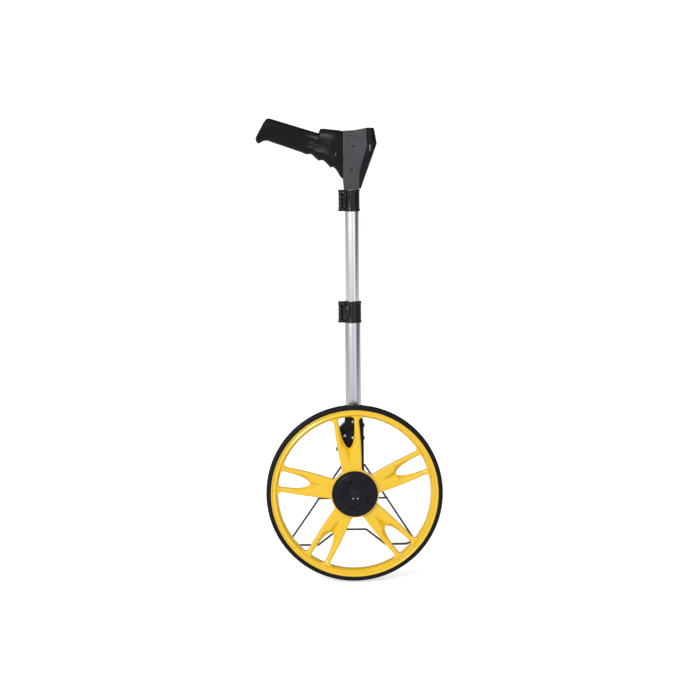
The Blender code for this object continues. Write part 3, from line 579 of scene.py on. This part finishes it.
def build_axle():
    nut = plate(fillet(hexagon(11.6, 6.5), 0.5, 3), -19.2, -12.2, 0.6)
    thread = revolve([(0, -19.4), (3.3, -19.4), (3.9, -18.8), (3.9, -12), (0, -12)], 40, closed=False)
    washer = revolve(ring_profile(10.2, 4.0, -18.3, -17.8, 0.15), 64)
    nut = together(nut, thread, washer)
    piece("axle_nut_faces", nut, DARK_STEEL, "frame", ["axle_nut"])
    # Two small bright plated studs on the washer, just beyond the nut's two lower corners, stand in for the glints
    # off those corners: a painted highlight.
    for number, (x, z) in enumerate(((-3.1, -7.9), (5.2, -7.7)), 1):
        rounded = [(0, -19.1), (0.7, -19.0), (1.15, -18.6), (1.15, -17.9), (0, -17.9)]
        pin = revolve(rounded, 32, "y", (x, 0, z), closed=False)
        piece(f"painted_glint_stud_{number}", pin, STEEL, "frame")
    head = plate(fillet(hexagon(13.0), 0.5, 3), FORK_BACK + 0.3, FORK_BACK + 5.2, 0.8)
    shaft = revolve([(0, 14), (3.95, 14), (3.95, FORK_BACK + 1), (0, FORK_BACK + 1)], 40, closed=False)
    piece("axle_bolt_faces", together(head, shaft), WIRE, "frame", ["axle_bolt"])


# ---------------------------------------------------------------- fork and stand
def fork_outline():
    boss = np.radians(np.linspace(172, 368, 20))
    low = np.stack([20.8 * np.cos(boss), 20.8 * np.sin(boss)], 1)
    left = [
        (16.2, 155), (-15.8, 155), (-15.8, 125), (-23, 118), (-31, 109), (-31, 102), (-29, 78), (-22.5, 50)
    ]
    right = [(18, 50), (18, 122), (16.2, 133)]
    return np.concatenate([left, low, right])


def build_fork():
    radii = [2, 2, 4, 4, 5, 3, 8, 12] + [0] * 20 + [8, 4, 4]
    outline = fillet(fork_outline(), radii, 4)
    front = plate(outline, FORK_FRONT, POLE_Y - 0.15, 2.2, 4, both=False)
    step = plate(inset(outline, 4.2), FORK_FRONT - 0.9, FORK_FRONT + 1, 0.8, 3, both=False)
    boss_front, boss_back = FORK_FRONT - 1.8, FORK_FRONT + 1
    boss = [(14.5, boss_back), (14.5, boss_front), (8, boss_front), (8, boss_back)]
    near = together(front, step, revolve(fillet(boss, 0.5, 3), 64))
    socket = [(0, 59.5), (14.2, 59.5), (14.2, 158.0), (0, 158.0)]
    socket = revolve(socket, 96, "z", (0, POLE_Y, 0), closed=False)
    carve(piece("fork_front", near, BLACK, "frame", ["fork_front_shell"]), socket)
    points, faces = plate(outline, -FORK_BACK, -POLE_Y - 0.15, 2.2, 4, both=False)
    back = (points * np.array([1, -1, 1]), faces)
    pad = plate(inset(outline, 5.0), FORK_BACK - 1, FORK_BACK + 0.8, 0.7, 3)
    far = together(back, pad)
    carve(piece("fork_rear", far, BLACK, "frame", ["fork_rear_shell"]), socket)
    places = ((-1.4, 127.0), (-1.2, 97.4), (-16.4, 101.7), (-22.5, 70.0))
    for number, (x, z) in enumerate(places, 1):
        replaced = {1: ["fork_screw_1"], 2: ["fork_screw_2"], 4: ["fork_screw_3"]}.get(number, [])
        head = screw_head(x, FORK_FRONT - 0.8, z, 2.7, 1.2)
        piece(f"fork_screw_head_{number}", head, STEEL, "frame", replaced)
    for number, z in ((1, 118.2), (2, 95.1)):
        points, faces = plate(fillet(hexagon(6.4), 0.4, 2), 17.6, 20.4, 0.5)
        bolt = np.stack([points[:, 1], points[:, 0] + 37.5, points[:, 2] + z], 1), faces
        piece(f"side_bolt_head_{number}", bolt, WIRE, "frame", [f"side_bolt_{number}"])
    lug = fillet([(-28.6, 73), (-32, 74.5), (-32, 79.5), (-28.6, 81)], 1, 3)
    piece("fork_stop_lug", plate(lug, 20, 28, 0.8), BLACK, "frame")
    hinge = fillet([(-16, 38), (16, 38), (16, 50), (-16, 50)], 2.5, 5)
    hinge = plate(hinge, FORK_BACK + 0.9, FORK_BACK + 6.4, 1.6, 4)
    piece("stand_hinge", hinge, BLACK, "frame", ["stand_hinge_block"])


def stand_path():
    """The stand in its own plane: one half from the hinge to the middle of the raised bar, then its mirror
    image. Its corners are rounded arcs."""
    corners = [(9, 0), (STAND_SHOULDER, 0), (STAND_FOOT, -STAND_LEG), (62.4, -STAND_LEG)]
    corners.append((25.6, 38 - STAND_LEG))
    ring = corners + [(-x, z) for x, z in corners[::-1]]
    radii = [0, 2.5, 14, 5, 5, 5, 5, 14, 2.5, 0]
    return fillet(ring, radii, 9)


def stand_frame_points(points, lift=0.0):
    """The stand's (x, z) plane opened about its hinge, lift being the distance behind the plane."""
    opening = np.radians(STAND_OPENING)
    x, z = points[:, 0], points[:, 1]
    y = PIVOT_Y - z * np.sin(opening) + lift * np.cos(opening)
    return np.stack([x, y, PIVOT_Z + z * np.cos(opening) + lift * np.sin(opening)], 1)


def resample(path, step):
    """The path again, at even steps along its length."""
    along = np.concatenate([[0], np.cumsum(np.linalg.norm(np.diff(path, axis=0), axis=1))])
    at = np.arange(0, along[-1], step)
    at = np.unique(np.concatenate([at, along]))
    return np.stack([np.interp(at, along, path[:, k]) for k in range(path.shape[1])], 1)


def build_stand():
    path = stand_frame_points(resample(stand_path(), 4.0))
    piece("stand_legs", tube_along(path, STAND_WIRE), WIRE, "stand", ["stand_wire"], sharp=60)
    share = 0.43
    reach = STAND_SHOULDER + (STAND_FOOT - STAND_SHOULDER) * share + 1.0
    bar = np.stack([np.linspace(-reach, reach, 40), np.full(40, -STAND_LEG * share)], 1)
    line = stand_frame_points(bar, 2 * STAND_WIRE + 0.1)
    ahead = np.array([1.0, 0, 0])
    angle = np.arange(18) / 18 * TAU
    normal = np.cross(ahead, line[0] - np.array([0, PIVOT_Y, PIVOT_Z]))
    normal /= np.linalg.norm(normal)
    side = np.cross(normal, ahead)
    ring = side * np.cos(angle)[:, None] + normal * np.sin(angle)[:, None]
    shape = grid(line[:, None] + STAND_WIRE * ring[None], caps=True)
    piece("stand_bar", shape, WIRE, "stand", ["stand_crossbar"], sharp=60)


# ---------------------------------------------------------------- pole and clamps
def build_tubes():
    at = (0, POLE_Y, 0)
    for name, outer, low, high, body in (
        ("lower_tube", 14.0, 60.0, 340.8, "frame"),
        ("middle_tube", 12.5, 262.0, 541.0, "middle_stage"),
        ("top_tube", 11.0, 336.0, 574.0, "top_stage"),
    ):
        shape = revolve(ring_profile(outer, outer - 1.2, low, high, 0.3), 128, "z", at)
        # The middle and top tubes take the lighter copy of the same aluminium: a painted highlight.
        made = ALUMINIUM if name == "lower_tube" else ALUMINIUM_PAINTED_LIGHTER
        piece(f"{name}_drawn", shape, made, body, [name])


def build_clamp(label, base, pin_x, radius, hug, top_radius, nose, round_by, body, lever_body):
    """A flip clamp: a banded collar with two ears, and a lever whose blade wraps the collar as a D."""
    top = base + CLAMP_HEIGHT
    at = (0, POLE_Y, 0)
    band = 0.7
    profile = fillet(
        [
            (radius, top), (radius + band, top), (radius + band, top - 3.4), (radius, top - 3.8),
            (radius, base + 3.8), (radius + band, base + 3.4), (radius + band, base), (hug + 0.3, base),
            (hug + 0.3, top - 2.6), (top_radius + 0.3, top - 2.6), (top_radius + 0.3, top),
        ],
        0.35, 2,
    )
    collar = revolve(profile, 112, "z", at)
    ears = []
    for low, high in ((base, base + 5.0), (top - 5.0, top)):
        outline = [(-pin_x - 4.6, -4.6), (-radius + 2, -4.6), (-radius + 2, 4.6), (-pin_x - 4.6, 4.6)]
        outline = fillet(outline, [4, 0, 0, 4], 7)
        ears.append(shifted(upright(plate(outline, low, high, 0.9)), y=POLE_Y))
    ribs = []
    for angle in (262, 276, 290, 304, 318):
        a = np.radians(angle)
        x, y = (radius + 0.1) * np.cos(a), (radius + 0.1) * np.sin(a)
        turn = np.array([[np.cos(a), np.sin(a)], [-np.sin(a), np.cos(a)]])
        outline = np.array([(-1, -1.0), (0.7, -1.0), (0.7, 1.0), (-1, 1.0)]) @ turn
        outline = fillet(outline, 0.3, 2) + (x, y)
        ribs.append(shifted(upright(plate(outline, base + 4.2, top - 4.2, 0.4)), y=POLE_Y))
    collar = together(collar, *ears, *ribs)
    piece(f"{label}_collar", collar, CLAMP, body, [f"{label}_clamp_collar"])
    pin = [(0, top + 0.1), (1.5, top + 0.1), (1.5, base - 0.1), (0, base - 0.1)]
    pin = revolve(pin, 32, "z", (-pin_x, POLE_Y, 0), closed=False)
    piece(f"{label}_pin_rod", pin, STEEL, body, [f"{label}_clamp_pin"])
    middle, half = (top + base) / 2, CLAMP_HEIGHT / 2 - 5.3
    height = np.linspace(-half, half, 60)[None, :]
    angle = (np.arange(48) / 48 * TAU)[:, None]
    scallop = 4.2 - 0.45 * (0.5 + 0.5 * np.cos(height / half * 3.5 * np.pi)) * (np.abs(height) < half - 0.8)
    x, y = -pin_x + scallop * np.cos(angle), POLE_Y + scallop * np.sin(angle)
    barrel = np.stack([x, y, middle + height + 0 * angle], -1)
    barrel = grid(np.swapaxes(barrel, 0, 1), caps=True)
    share = np.sin(np.linspace(0, np.pi / 2, 30))[:, None]
    bearing = np.radians(184 + (nose - 184) * share)
    tall = half * np.sqrt(np.clip(1 - share**round_by, 0, 1)) + 0.05
    edge = np.linspace(-1, 1, 21)[None, :]
    inner, outer = radius + band + 0.15, radius + 3.4
    dome = outer - 0.9 * edge**4 - 0.5 * share**2
    loop_r = np.concatenate([dome, np.full_like(dome, inner)], 1)
    loop_h = np.concatenate([tall * edge, tall * edge[:, ::-1]], 1)
    blade = np.stack([loop_r * np.cos(bearing), POLE_Y + loop_r * np.sin(bearing), middle + loop_h], -1)
    lever = together(barrel, grid(blade, caps=True))
    piece(f"{label}_lever", lever, CLAMP, lever_body, [f"{label}_clamp_lever"])


# ---------------------------------------------------------------- handle
def head_width(x, z):
    """Half the head's thickness: narrow at the neck, full above, and drawn in towards the front."""
    rise = 14.6 + 15.4 * ease((z - 540) / 70)
    return rise * (1 - 0.34 * np.clip((x + 16) / 61, 0, 1) ** 1.5)


def follow(stations, share):
    """Points along a line: stations hold (share, x, z), joined by straight runs."""
    stations = np.array(stations, float)
    return np.stack([np.interp(share, stations[:, 0], stations[:, k]) for k in (1, 2)], 1)


def grip_half(side):
    """Half of grip and rear housing, ruled between its top and bottom lines: every section is a rounded
    rectangle spanned by them, 34 mm thick along the grip and swelling evenly into the head; a few waves run
    under the fingers, the pommel's last sections turn round its lower corner, and three low steps run along
    the side, closing in ahead."""
    top = [
        (0, -154.6, 668.0), (0.012, -153.2, 670.6), (0.03, -150.6, 672.4), (0.05, -146.5, 672.8),
        (0.6, -58.6, 645.6), (0.625, -56.2, 652.0), (0.64, -54.6, 652.9), (1, -16.4, 648.6),
    ]
    low = [
        (0, -171.4, 636.8), (0.012, -171.0, 632.6), (0.03, -168.6, 628.9), (0.05, -165.4, 627.6),
        (0.075, -161.0, 630.2), (0.1, -156.0, 632.6), (0.13, -150.0, 632.6), (0.45, -89.0, 611.2),
        (0.5, -80.5, 608.3), (0.55, -72.5, 607.6), (0.6, -66.0, 602.4), (0.65, -59.0, 597.2),
        (0.7, -51.5, 596.6), (0.75, -44.0, 590.6), (0.8, -38.0, 584.6), (0.84, -33.6, 585.4),
        (0.88, -29.0, 580.6), (0.92, -24.6, 574.6), (0.96, -20.4, 567.2), (1, -16.6, 563.6),
    ]
    share = [np.linspace(0, 0.06, 22), np.linspace(0, 1, 170), np.linspace(0.598, 0.642, 16)]
    share = np.unique(np.concatenate(share))
    upper, lower = follow(top, share), follow(low, share)
    upper[1:-1] = (upper[:-2] + 2 * upper[1:-1] + upper[2:]) / 4
    fingers = ease((lower[:, 0] + 94) / 8) * ease((-22 - lower[:, 0]) / 6)
    lower[:, 1] -= 0.7 * fingers * np.cos((lower[:, 0] + 38.5) / 22 * TAU)
    middle, rise = (upper + lower) / 2, (upper - lower) / 2
    end = np.linspace(0, 1, 10)[:-1]
    shrink = np.concatenate([1 - 0.3 * (1 - np.sqrt(1 - (1 - end) ** 2)), np.ones(len(share))])
    outwards = -0.75 * (1 - end)[:, None] * np.array([0.84, -0.45])
    middle = np.concatenate([middle[:1] + outwards, middle])
    rise = np.concatenate([np.repeat(rise[:1], 9, 0), rise])
    share = np.concatenate([np.zeros(9), share])
    tilt = np.radians(np.linspace(-90, 90, 49))[None, :]
    box = (3.0 + 3.0 * ease((share - 0.4) / 0.5))[:, None]
    up = np.sign(np.sin(tilt)) * np.abs(np.sin(tilt)) ** (2 / box)
    out = np.abs(np.cos(tilt)) ** (2 / box)
    x = middle[:, :1] + rise[:, :1] * up * shrink[:, None]
    z = middle[:, 1:] + rise[:, 1:] * up * shrink[:, None]
    flare = ease((x + 86) / 62)
    thick = (GRIP_HALF + (head_width(x, z) - GRIP_HALF) * flare) * shrink[:, None]
    ridge = ease((share[:, None] - 0.12) / 0.1) * (1 - ease((share[:, None] - 0.9) / 0.08))
    for start, slope, height in ((0.34, -0.55, 1.3), (-0.02, -0.42, 1.3), (-0.3, -0.2, 1.0)):
        level = start + slope * (share[:, None] - 0.2)
        step = ease((up - level) / 0.05 + 0.5) * ease((level + 0.34 - up) / 0.3)
        thick = thick - height * ridge * step
    y = POLE_Y + side * (0.12 + thick * out)
    points = np.stack([x, y, z], -1)
    centre = np.array([-16.4, POLE_Y + side * 0.12, 606.0])
    tongue = centre + (points[-1] - centre) * np.array([1, 0.95, 0.97])
    return grid(np.concatenate([points, [tongue, tongue + np.array([1.2, 0, 0])]]), caps=True)


def ring_section(x_low, x_high, height, sides=24, nose=False):
    """Loops round the head between two x lines, for rows of height(x): the near side, the front, the far
    side and the back. The sides draw in slightly ahead; nose instead rounds the front corners as a quarter
    of a superellipse."""
    s = np.linspace(0, 1, sides)[None, :]
    if nose:
        turn = s * np.pi / 2
        x = x_low + (x_high - x_low) * np.sin(turn) ** (2 / 4.5)
        narrow = np.cos(turn) ** (2 / 4.5)
    else:
        x = x_low + (x_high - x_low) * s
        narrow = 1 - 0.05 * s**2 + 0 * x
        narrow[:, 0] -= 0.015
        narrow[:, -1] -= 0.015
    z = height(x)
    half = head_width(x, z) * narrow
    x = np.concatenate([x, x[:, ::-1]], 1)
    z = np.concatenate([z, z[:, ::-1]], 1)
    y = np.concatenate([POLE_Y - half, POLE_Y + half[:, ::-1]], 1)
    return np.stack([x, y, z], -1)


def seam(level):
    """Where the housing meets the front cover at each height."""
    return np.interp(level, [544.9, 575.0, 589.0, 626.0, 655.0], [13.4, 14.2, 17.6, 28.6, 27.2])


def shoulder_line(x):
    """The housing's upper edge, falling ahead."""
    return 643.4 - (x + 16.1) * 9.2 / 43.4


def housing_surface():
    """The housing's wall, from the neck up to its shoulder line."""
    rows = np.linspace(0, 1, 60)[:, None]
    level = HEAD_FLOOR + 95 * rows
    left = HEAD_BACK + 1.6 * (1 - ease((level - HEAD_FLOOR) / 20))
    right = seam(level) - 0.2

    def height(x):
        return HEAD_FLOOR + (shoulder_line(x) - HEAD_FLOOR) * rows

    return grid(ring_section(left, right, height), caps=True)


def door_surface():
    """The front cover, from its seam with the housing to its nose."""
    rows = np.linspace(0, 1, 64)[:, None]
    level = 546.0 + 108.6 * rows
    left = seam(level) + 0.2
    right = np.interp(level, [546.0, 624.0, 627.0, 652.0, 654.6], [16.4, 44.8, 45.4, 41.2, 39.6])

    def height(x):
        return level + 0 * x

    return grid(ring_section(left, right, height, 26, nose=True), caps=True)


def bezel_surface():
    """The display bezel: outer wall, sloping top, and a sunken opening over the panel."""
    sides = 24
    rows = np.array([0.0, 0.06, 0.5, 0.94, 1.0])[:, None]
    left, right = np.full_like(rows, HEAD_BACK), np.full_like(rows, 27.0)

    def height(x):
        bottom = shoulder_line(x) + 0.4
        crown = np.interp(x, [-16.1, -4.5, 0, 27.3], [649.3, 648.5, 649.5, 654.3])
        return bottom + (crown - bottom) * rows

    outer = ring_section(left, right, height, sides)
    s = np.linspace(0, 1, sides)
    x = 2.3 + 22.4 * s
    loops = []
    for sink in (0.0, 3.2):
        z = 649.55 + x * DISPLAY_RISE - sink
        ring_x = np.concatenate([x, x[::-1]])
        ring_z = np.concatenate([z, z[::-1]])
        ring_y = np.concatenate([np.full(sides, POLE_Y - 22.4), np.full(sides, POLE_Y + 22.4)])
        loops.append(np.stack([ring_x, ring_y, ring_z], 1))
    return grid(np.concatenate([outer, np.array(loops)]), caps=True)


def deck_height(x):
    """The thumb deck's top, falling ahead."""
    return 653.6 - (x + 55.4) * KEY_FALL


def build_keys():
    """The key plate on the thumb deck, a raised ring round each key, and dished keys with a raised mark."""
    corners = ((-55.4, 0), (-16.6, 0), (-16.6, 2.5), (-55.4, 2.5))
    corners = [(x, deck_height(x) - drop) for x, drop in corners]
    shape = plate(fillet(corners, [0.9, 0.5, 0.3, 0.3], 3), POLE_Y - 19, POLE_Y + 19, 0.8)
    ring = revolve(fillet([(5.4, 0.7), (5.4, -0.4), (4.3, -0.4), (4.3, 0.7)], [0.4, 0, 0, 0.4], 3), 56, "z")
    dish = [(0, -0.05), (1.6, 0.0), (2.8, 0.2), (3.4, 0.35), (3.8, 0.15), (4.0, -0.3), (4.0, -3.2)]
    dish.append((0, -3.2))

    def bar(left, right, y):
        return fillet([(left, y - 0.3), (right, y - 0.3), (right, y + 0.3), (left, y + 0.3)], 0.15, 2)

    marks = {
        "power": [bar(-0.3, 1.8, 0)],
        "mode": [bar(-1.6, 1.6, y) for y in (-1.0, 1.0)],
        "reset": [fillet([(-1.3, -1.3), (1.6, 0), (-1.3, 1.3)], 0.2, 3)],
    }
    rings = []
    for name, x in (("power", -46.0), ("mode", -35.5), ("reset", -25.0)):
        centre = (x, POLE_Y, deck_height(x))
        rings.append(tilted(ring, centre, -KEY_FALL))
        cap = tilted(revolve(dish, 56, "z", closed=False), centre, -KEY_FALL)
        piece(f"{name}_key_cap", cap, GREY, f"{name}_key", [f"{name}_key"])
        lines = [upright(plate(line, -0.1, 0.32, 0.08, 1)) for line in marks[name]]
        mark = together(*(tilted(line, centre, -KEY_FALL) for line in lines))
        piece(f"{name}_key_mark", mark, MARK, f"{name}_key")
    piece("key_plate_moulding", together(shape, *rings), BLACK, "top_stage", ["key_plate"])


def build_readout():
    """Five seven-bar figures with a point, and a row of small marks above them, on the display's face."""
    lit = {"0": "abcdef", "1": "bc", "2": "abged", "5": "afgcd", "8": "abcdefg"}
    bars = {
        "a": (0, 5.6, False), "g": (0, 0, False), "d": (0, -5.6, False), "f": (-2.7, 2.8, True),
        "b": (2.7, 2.8, True), "e": (-2.7, -2.8, True), "c": (2.7, -2.8, True),
    }
    long, thick = 2.5, 0.75
    bar = [(-long, 0), (-long + thick, thick), (long - thick, thick)]
    bar = np.array(bar + [(-right, -up) for right, up in bar])
    outlines = []
    for number, figure in enumerate("01258"):
        for key in lit[figure]:
            right, up, stands = bars[key]
            line = bar[:, ::-1] * (1, -1) if stands else bar
            outlines.append(line + (right + (number - 2) * 7.6, up - 1.6))
    square = np.array([(-0.55, -0.55), (0.55, -0.55), (0.55, 0.55), (-0.55, 0.55)])
    outlines.append(square + (11.4, -7.2))
    for right, wide in ((-17.0, 3.2), (-11.0, 1.6), (10.5, 1.6), (16.5, 3.6)):
        outlines.append(square * (wide, 1.2) + (right, 7.9))
    shapes = []
    for line in outlines:
        turned_line = np.stack([line[:, 1], -line[:, 0]], 1)
        flat = upright(plate(turned_line, -1.86, -1.78, 0.01, 1))
        shapes.append(tilted(flat, (13.5, POLE_Y, 651.925), DISPLAY_RISE))
    piece("display_figures", together(*shapes), MARK_DARK, "top_stage")


def build_handle():
    """Keys, figures, grip halves cut for the keys, housing, bezel, and front cover cut for the display."""
    top, grey, door = "top_stage", "housing_grey", "battery_door"
    build_keys()
    build_readout()
    for side, label in ((-1, "near"), (1, "far")):
        shell = [f"grip_{label}_shell"]
        half = piece(f"grip_{label}_half", grip_half(side), GRIP, top, shell, sharp=48)
        carve(half, block((-51.5, POLE_Y - 7, 641), (-19.5, POLE_Y + 7, 658)), 48)
    piece("head_housing_moulding", housing_surface(), GREY, top, ["head_housing"], sharp=30)
    piece("display_bezel_moulding", bezel_surface(), GREY, top, ["display_bezel"], sharp=30)
    cover = piece("battery_door_moulding", door_surface(), BLACK, door, [door], sharp=30)
    carve(cover, block((24.0, POLE_Y - 20.5, 620), (39.0, POLE_Y + 20.5, 650)), 30)
    oval = fillet([(31.0, 613.5), (34.2, 613.5), (34.2, 625.0), (31.0, 625.0)], 1.6, 6)
    face = POLE_Y - head_width(32.6, 619)
    tab = plate(oval, face - 1.6, face + 1.0, 0.6)
    piece("door_latch_tab", tab, LATCH_AND_GLINT, door, ["door_latch"])
    # A small raised tab on the grip's near side in the lighter latch coating: the relief is real, and its light
    # colour is a painted highlight.
    slot = fillet([(-29.6, 604.5), (-28.2, 604.5), (-28.2, 611.0), (-29.6, 611.0)], 0.6, 4)
    piece("grip_side_glint_tab", plate(slot, POLE_Y - 30.1, POLE_Y - 28.0, 0.3), LATCH_AND_GLINT, top)
    for number, (x, z) in enumerate(((-0.8, 580.2), (2.4, 622.8)), 1):
        spot = [(x - 2.4, z - 1.2), (x + 2.4, z - 1.2), (x + 2.4, z + 1.2), (x - 2.4, z + 1.2)]
        face = POLE_Y - head_width(x, z)
        spot = plate(fillet(spot, 1.1, 5), face - 0.25, face + 1.0, 0.2)
        piece(f"housing_mark_{number}", spot, BLACK, top)


# ---------------------------------------------------------------- carried-over nodes, stage and camera
def dress_frame():
    """Gives each node of the frame its slot's finish."""
    for row in frame["record"]["subparts"]:
        node = frame["nodes"][row["node"]]
        node.data.materials.clear()
        node.data.materials.append(CAD_FINISH[row["material_slot"]])
        for face in node.data.polygons:
            face.use_smooth = False


def studio_world():
    """White behind the object; as a light it is brightest above on the left in front, and dim on the far
    right and behind: a smooth rise with the cosine of the angle to that direction."""
    world = bpy.data.worlds.new("studio_world")
    world.use_nodes = True
    nodes, links = world.node_tree.nodes, world.node_tree.links
    direction, path = nodes.new("ShaderNodeTexCoord"), nodes.new("ShaderNodeLightPath")
    towards = nodes.new("ShaderNodeVectorMath")
    light, shown = nodes.new("ShaderNodeMapRange"), nodes.new("ShaderNodeMapRange")
    towards.operation = "DOT_PRODUCT"
    towards.inputs[1].default_value = (-0.30, -0.56, 0.77)
    links.new(direction.outputs["Generated"], towards.inputs[0])
    light.interpolation_type = "SMOOTHSTEP"
    fill(light, {"From Min": -0.2, "From Max": 1.0, "To Min": 0.04, "To Max": 0.9})
    links.new(towards.outputs["Value"], light.inputs["Value"])
    links.new(path.outputs["Is Camera Ray"], shown.inputs["Value"])
    links.new(light.outputs[0], shown.inputs["To Min"])
    shown.inputs["To Max"].default_value = 1.0
    links.new(shown.outputs[0], nodes["Background"].inputs["Strength"])
    nodes["Background"].inputs["Color"].default_value = (1, 1, 1, 1)
    return world


def build_stage():
    """A white floor just under the tyre, brightened where the camera sees it, and the world round it."""
    mesh = bpy.data.meshes.new("studio_floor")
    reach, below = 12.0, -0.0005
    corners = [(x * reach, y * reach, below) for x, y in ((-1, -1), (1, -1), (1, 1), (-1, 1))]
    mesh.from_pydata(corners, [], [(0, 1, 2, 3)])
    floor = bpy.data.objects.new("studio_floor", mesh)
    made, tree, principled = shader("studio_white")
    fill(principled, {"Base Color": (0.9, 0.9, 0.9, 1), "Roughness": 0.9, "Emission Color": (1, 1, 1, 1)})
    path, glow = tree.nodes.new("ShaderNodeLightPath"), tree.nodes.new("ShaderNodeMath")
    glow.operation = "MULTIPLY"
    glow.inputs[1].default_value = 0.62
    tree.links.new(path.outputs["Is Camera Ray"], glow.inputs[0])
    tree.links.new(glow.outputs[0], principled.inputs["Emission Strength"])
    mesh.materials.append(made)
    bpy.context.scene.collection.objects.link(floor)
    bpy.context.scene.world = studio_world()
    bpy.context.scene.view_settings.view_transform = "Standard"


def lamp(name, place, target, size, power):
    """A rectangular soft light at place, facing target."""
    data = bpy.data.lights.new(name, "AREA")
    data.shape = "RECTANGLE"
    data.size, data.size_y = size
    data.energy = power
    made = bpy.data.objects.new(name, data)
    made.location = place
    made.rotation_euler = (Vector(target) - Vector(place)).to_track_quat("-Z", "Y").to_euler()
    bpy.context.scene.collection.objects.link(made)


def build_camera():
    """The camera stands 5 m away, 8.3 degrees above the axle's line, looking between wheel and grip."""
    height, side, away = np.radians(8.3), np.radians(-2.0), 5000.0
    place = away * np.array([np.sin(side) * np.cos(height), -np.cos(side) * np.cos(height), np.sin(height)])
    pitch, yaw, roll = np.radians(5.351), np.radians(1.927), np.radians(-0.4526)
    ahead = np.array([np.sin(yaw) * np.cos(pitch), np.cos(yaw) * np.cos(pitch), -np.sin(pitch)])
    right = np.cross(ahead, [0, 0, 1])
    right /= np.linalg.norm(right)
    up = np.cross(right, ahead)
    right, up = np.cos(roll) * right + np.sin(roll) * up, -np.sin(roll) * right + np.cos(roll) * up
    data = bpy.data.cameras.new("studio_camera")
    data.sensor_width = 36.0
    data.lens = 142.668
    made = bpy.data.objects.new("studio_camera", data)
    bpy.context.scene.collection.objects.link(made)
    axes = np.stack([right, up, -ahead]) @ INSTRUMENT
    matrix = Matrix.Identity(4)
    for k in range(3):
        for row in range(3):
            matrix[row][k] = axes[k][row]
        matrix[k][3] = to_world(place)[k]
    made.matrix_world = matrix
    bpy.context.scene.camera = made


dress_frame()
build_wheel()
build_axle()
build_fork()
build_stand()
build_tubes()
build_clamp("lower", LOWER_BASE, 21.6, 15.6, 14.0, 12.5, 250, 3.2, "frame", "lower_lever")
build_clamp("upper", UPPER_BASE, 19.9, 14.1, 12.5, 11.0, 228, 12.0, "middle_stage", "upper_lever")
build_handle()
build_stage()
lamp("key_light", (-1.9, -2.4, 2.8), (0, 0.1, 0.4), (1.2, 1.4), 84)
lamp("fill_light", (2.1, -2.8, 1.3), (0, 0.1, 0.4), (1.8, 2.6), 9)
build_camera()
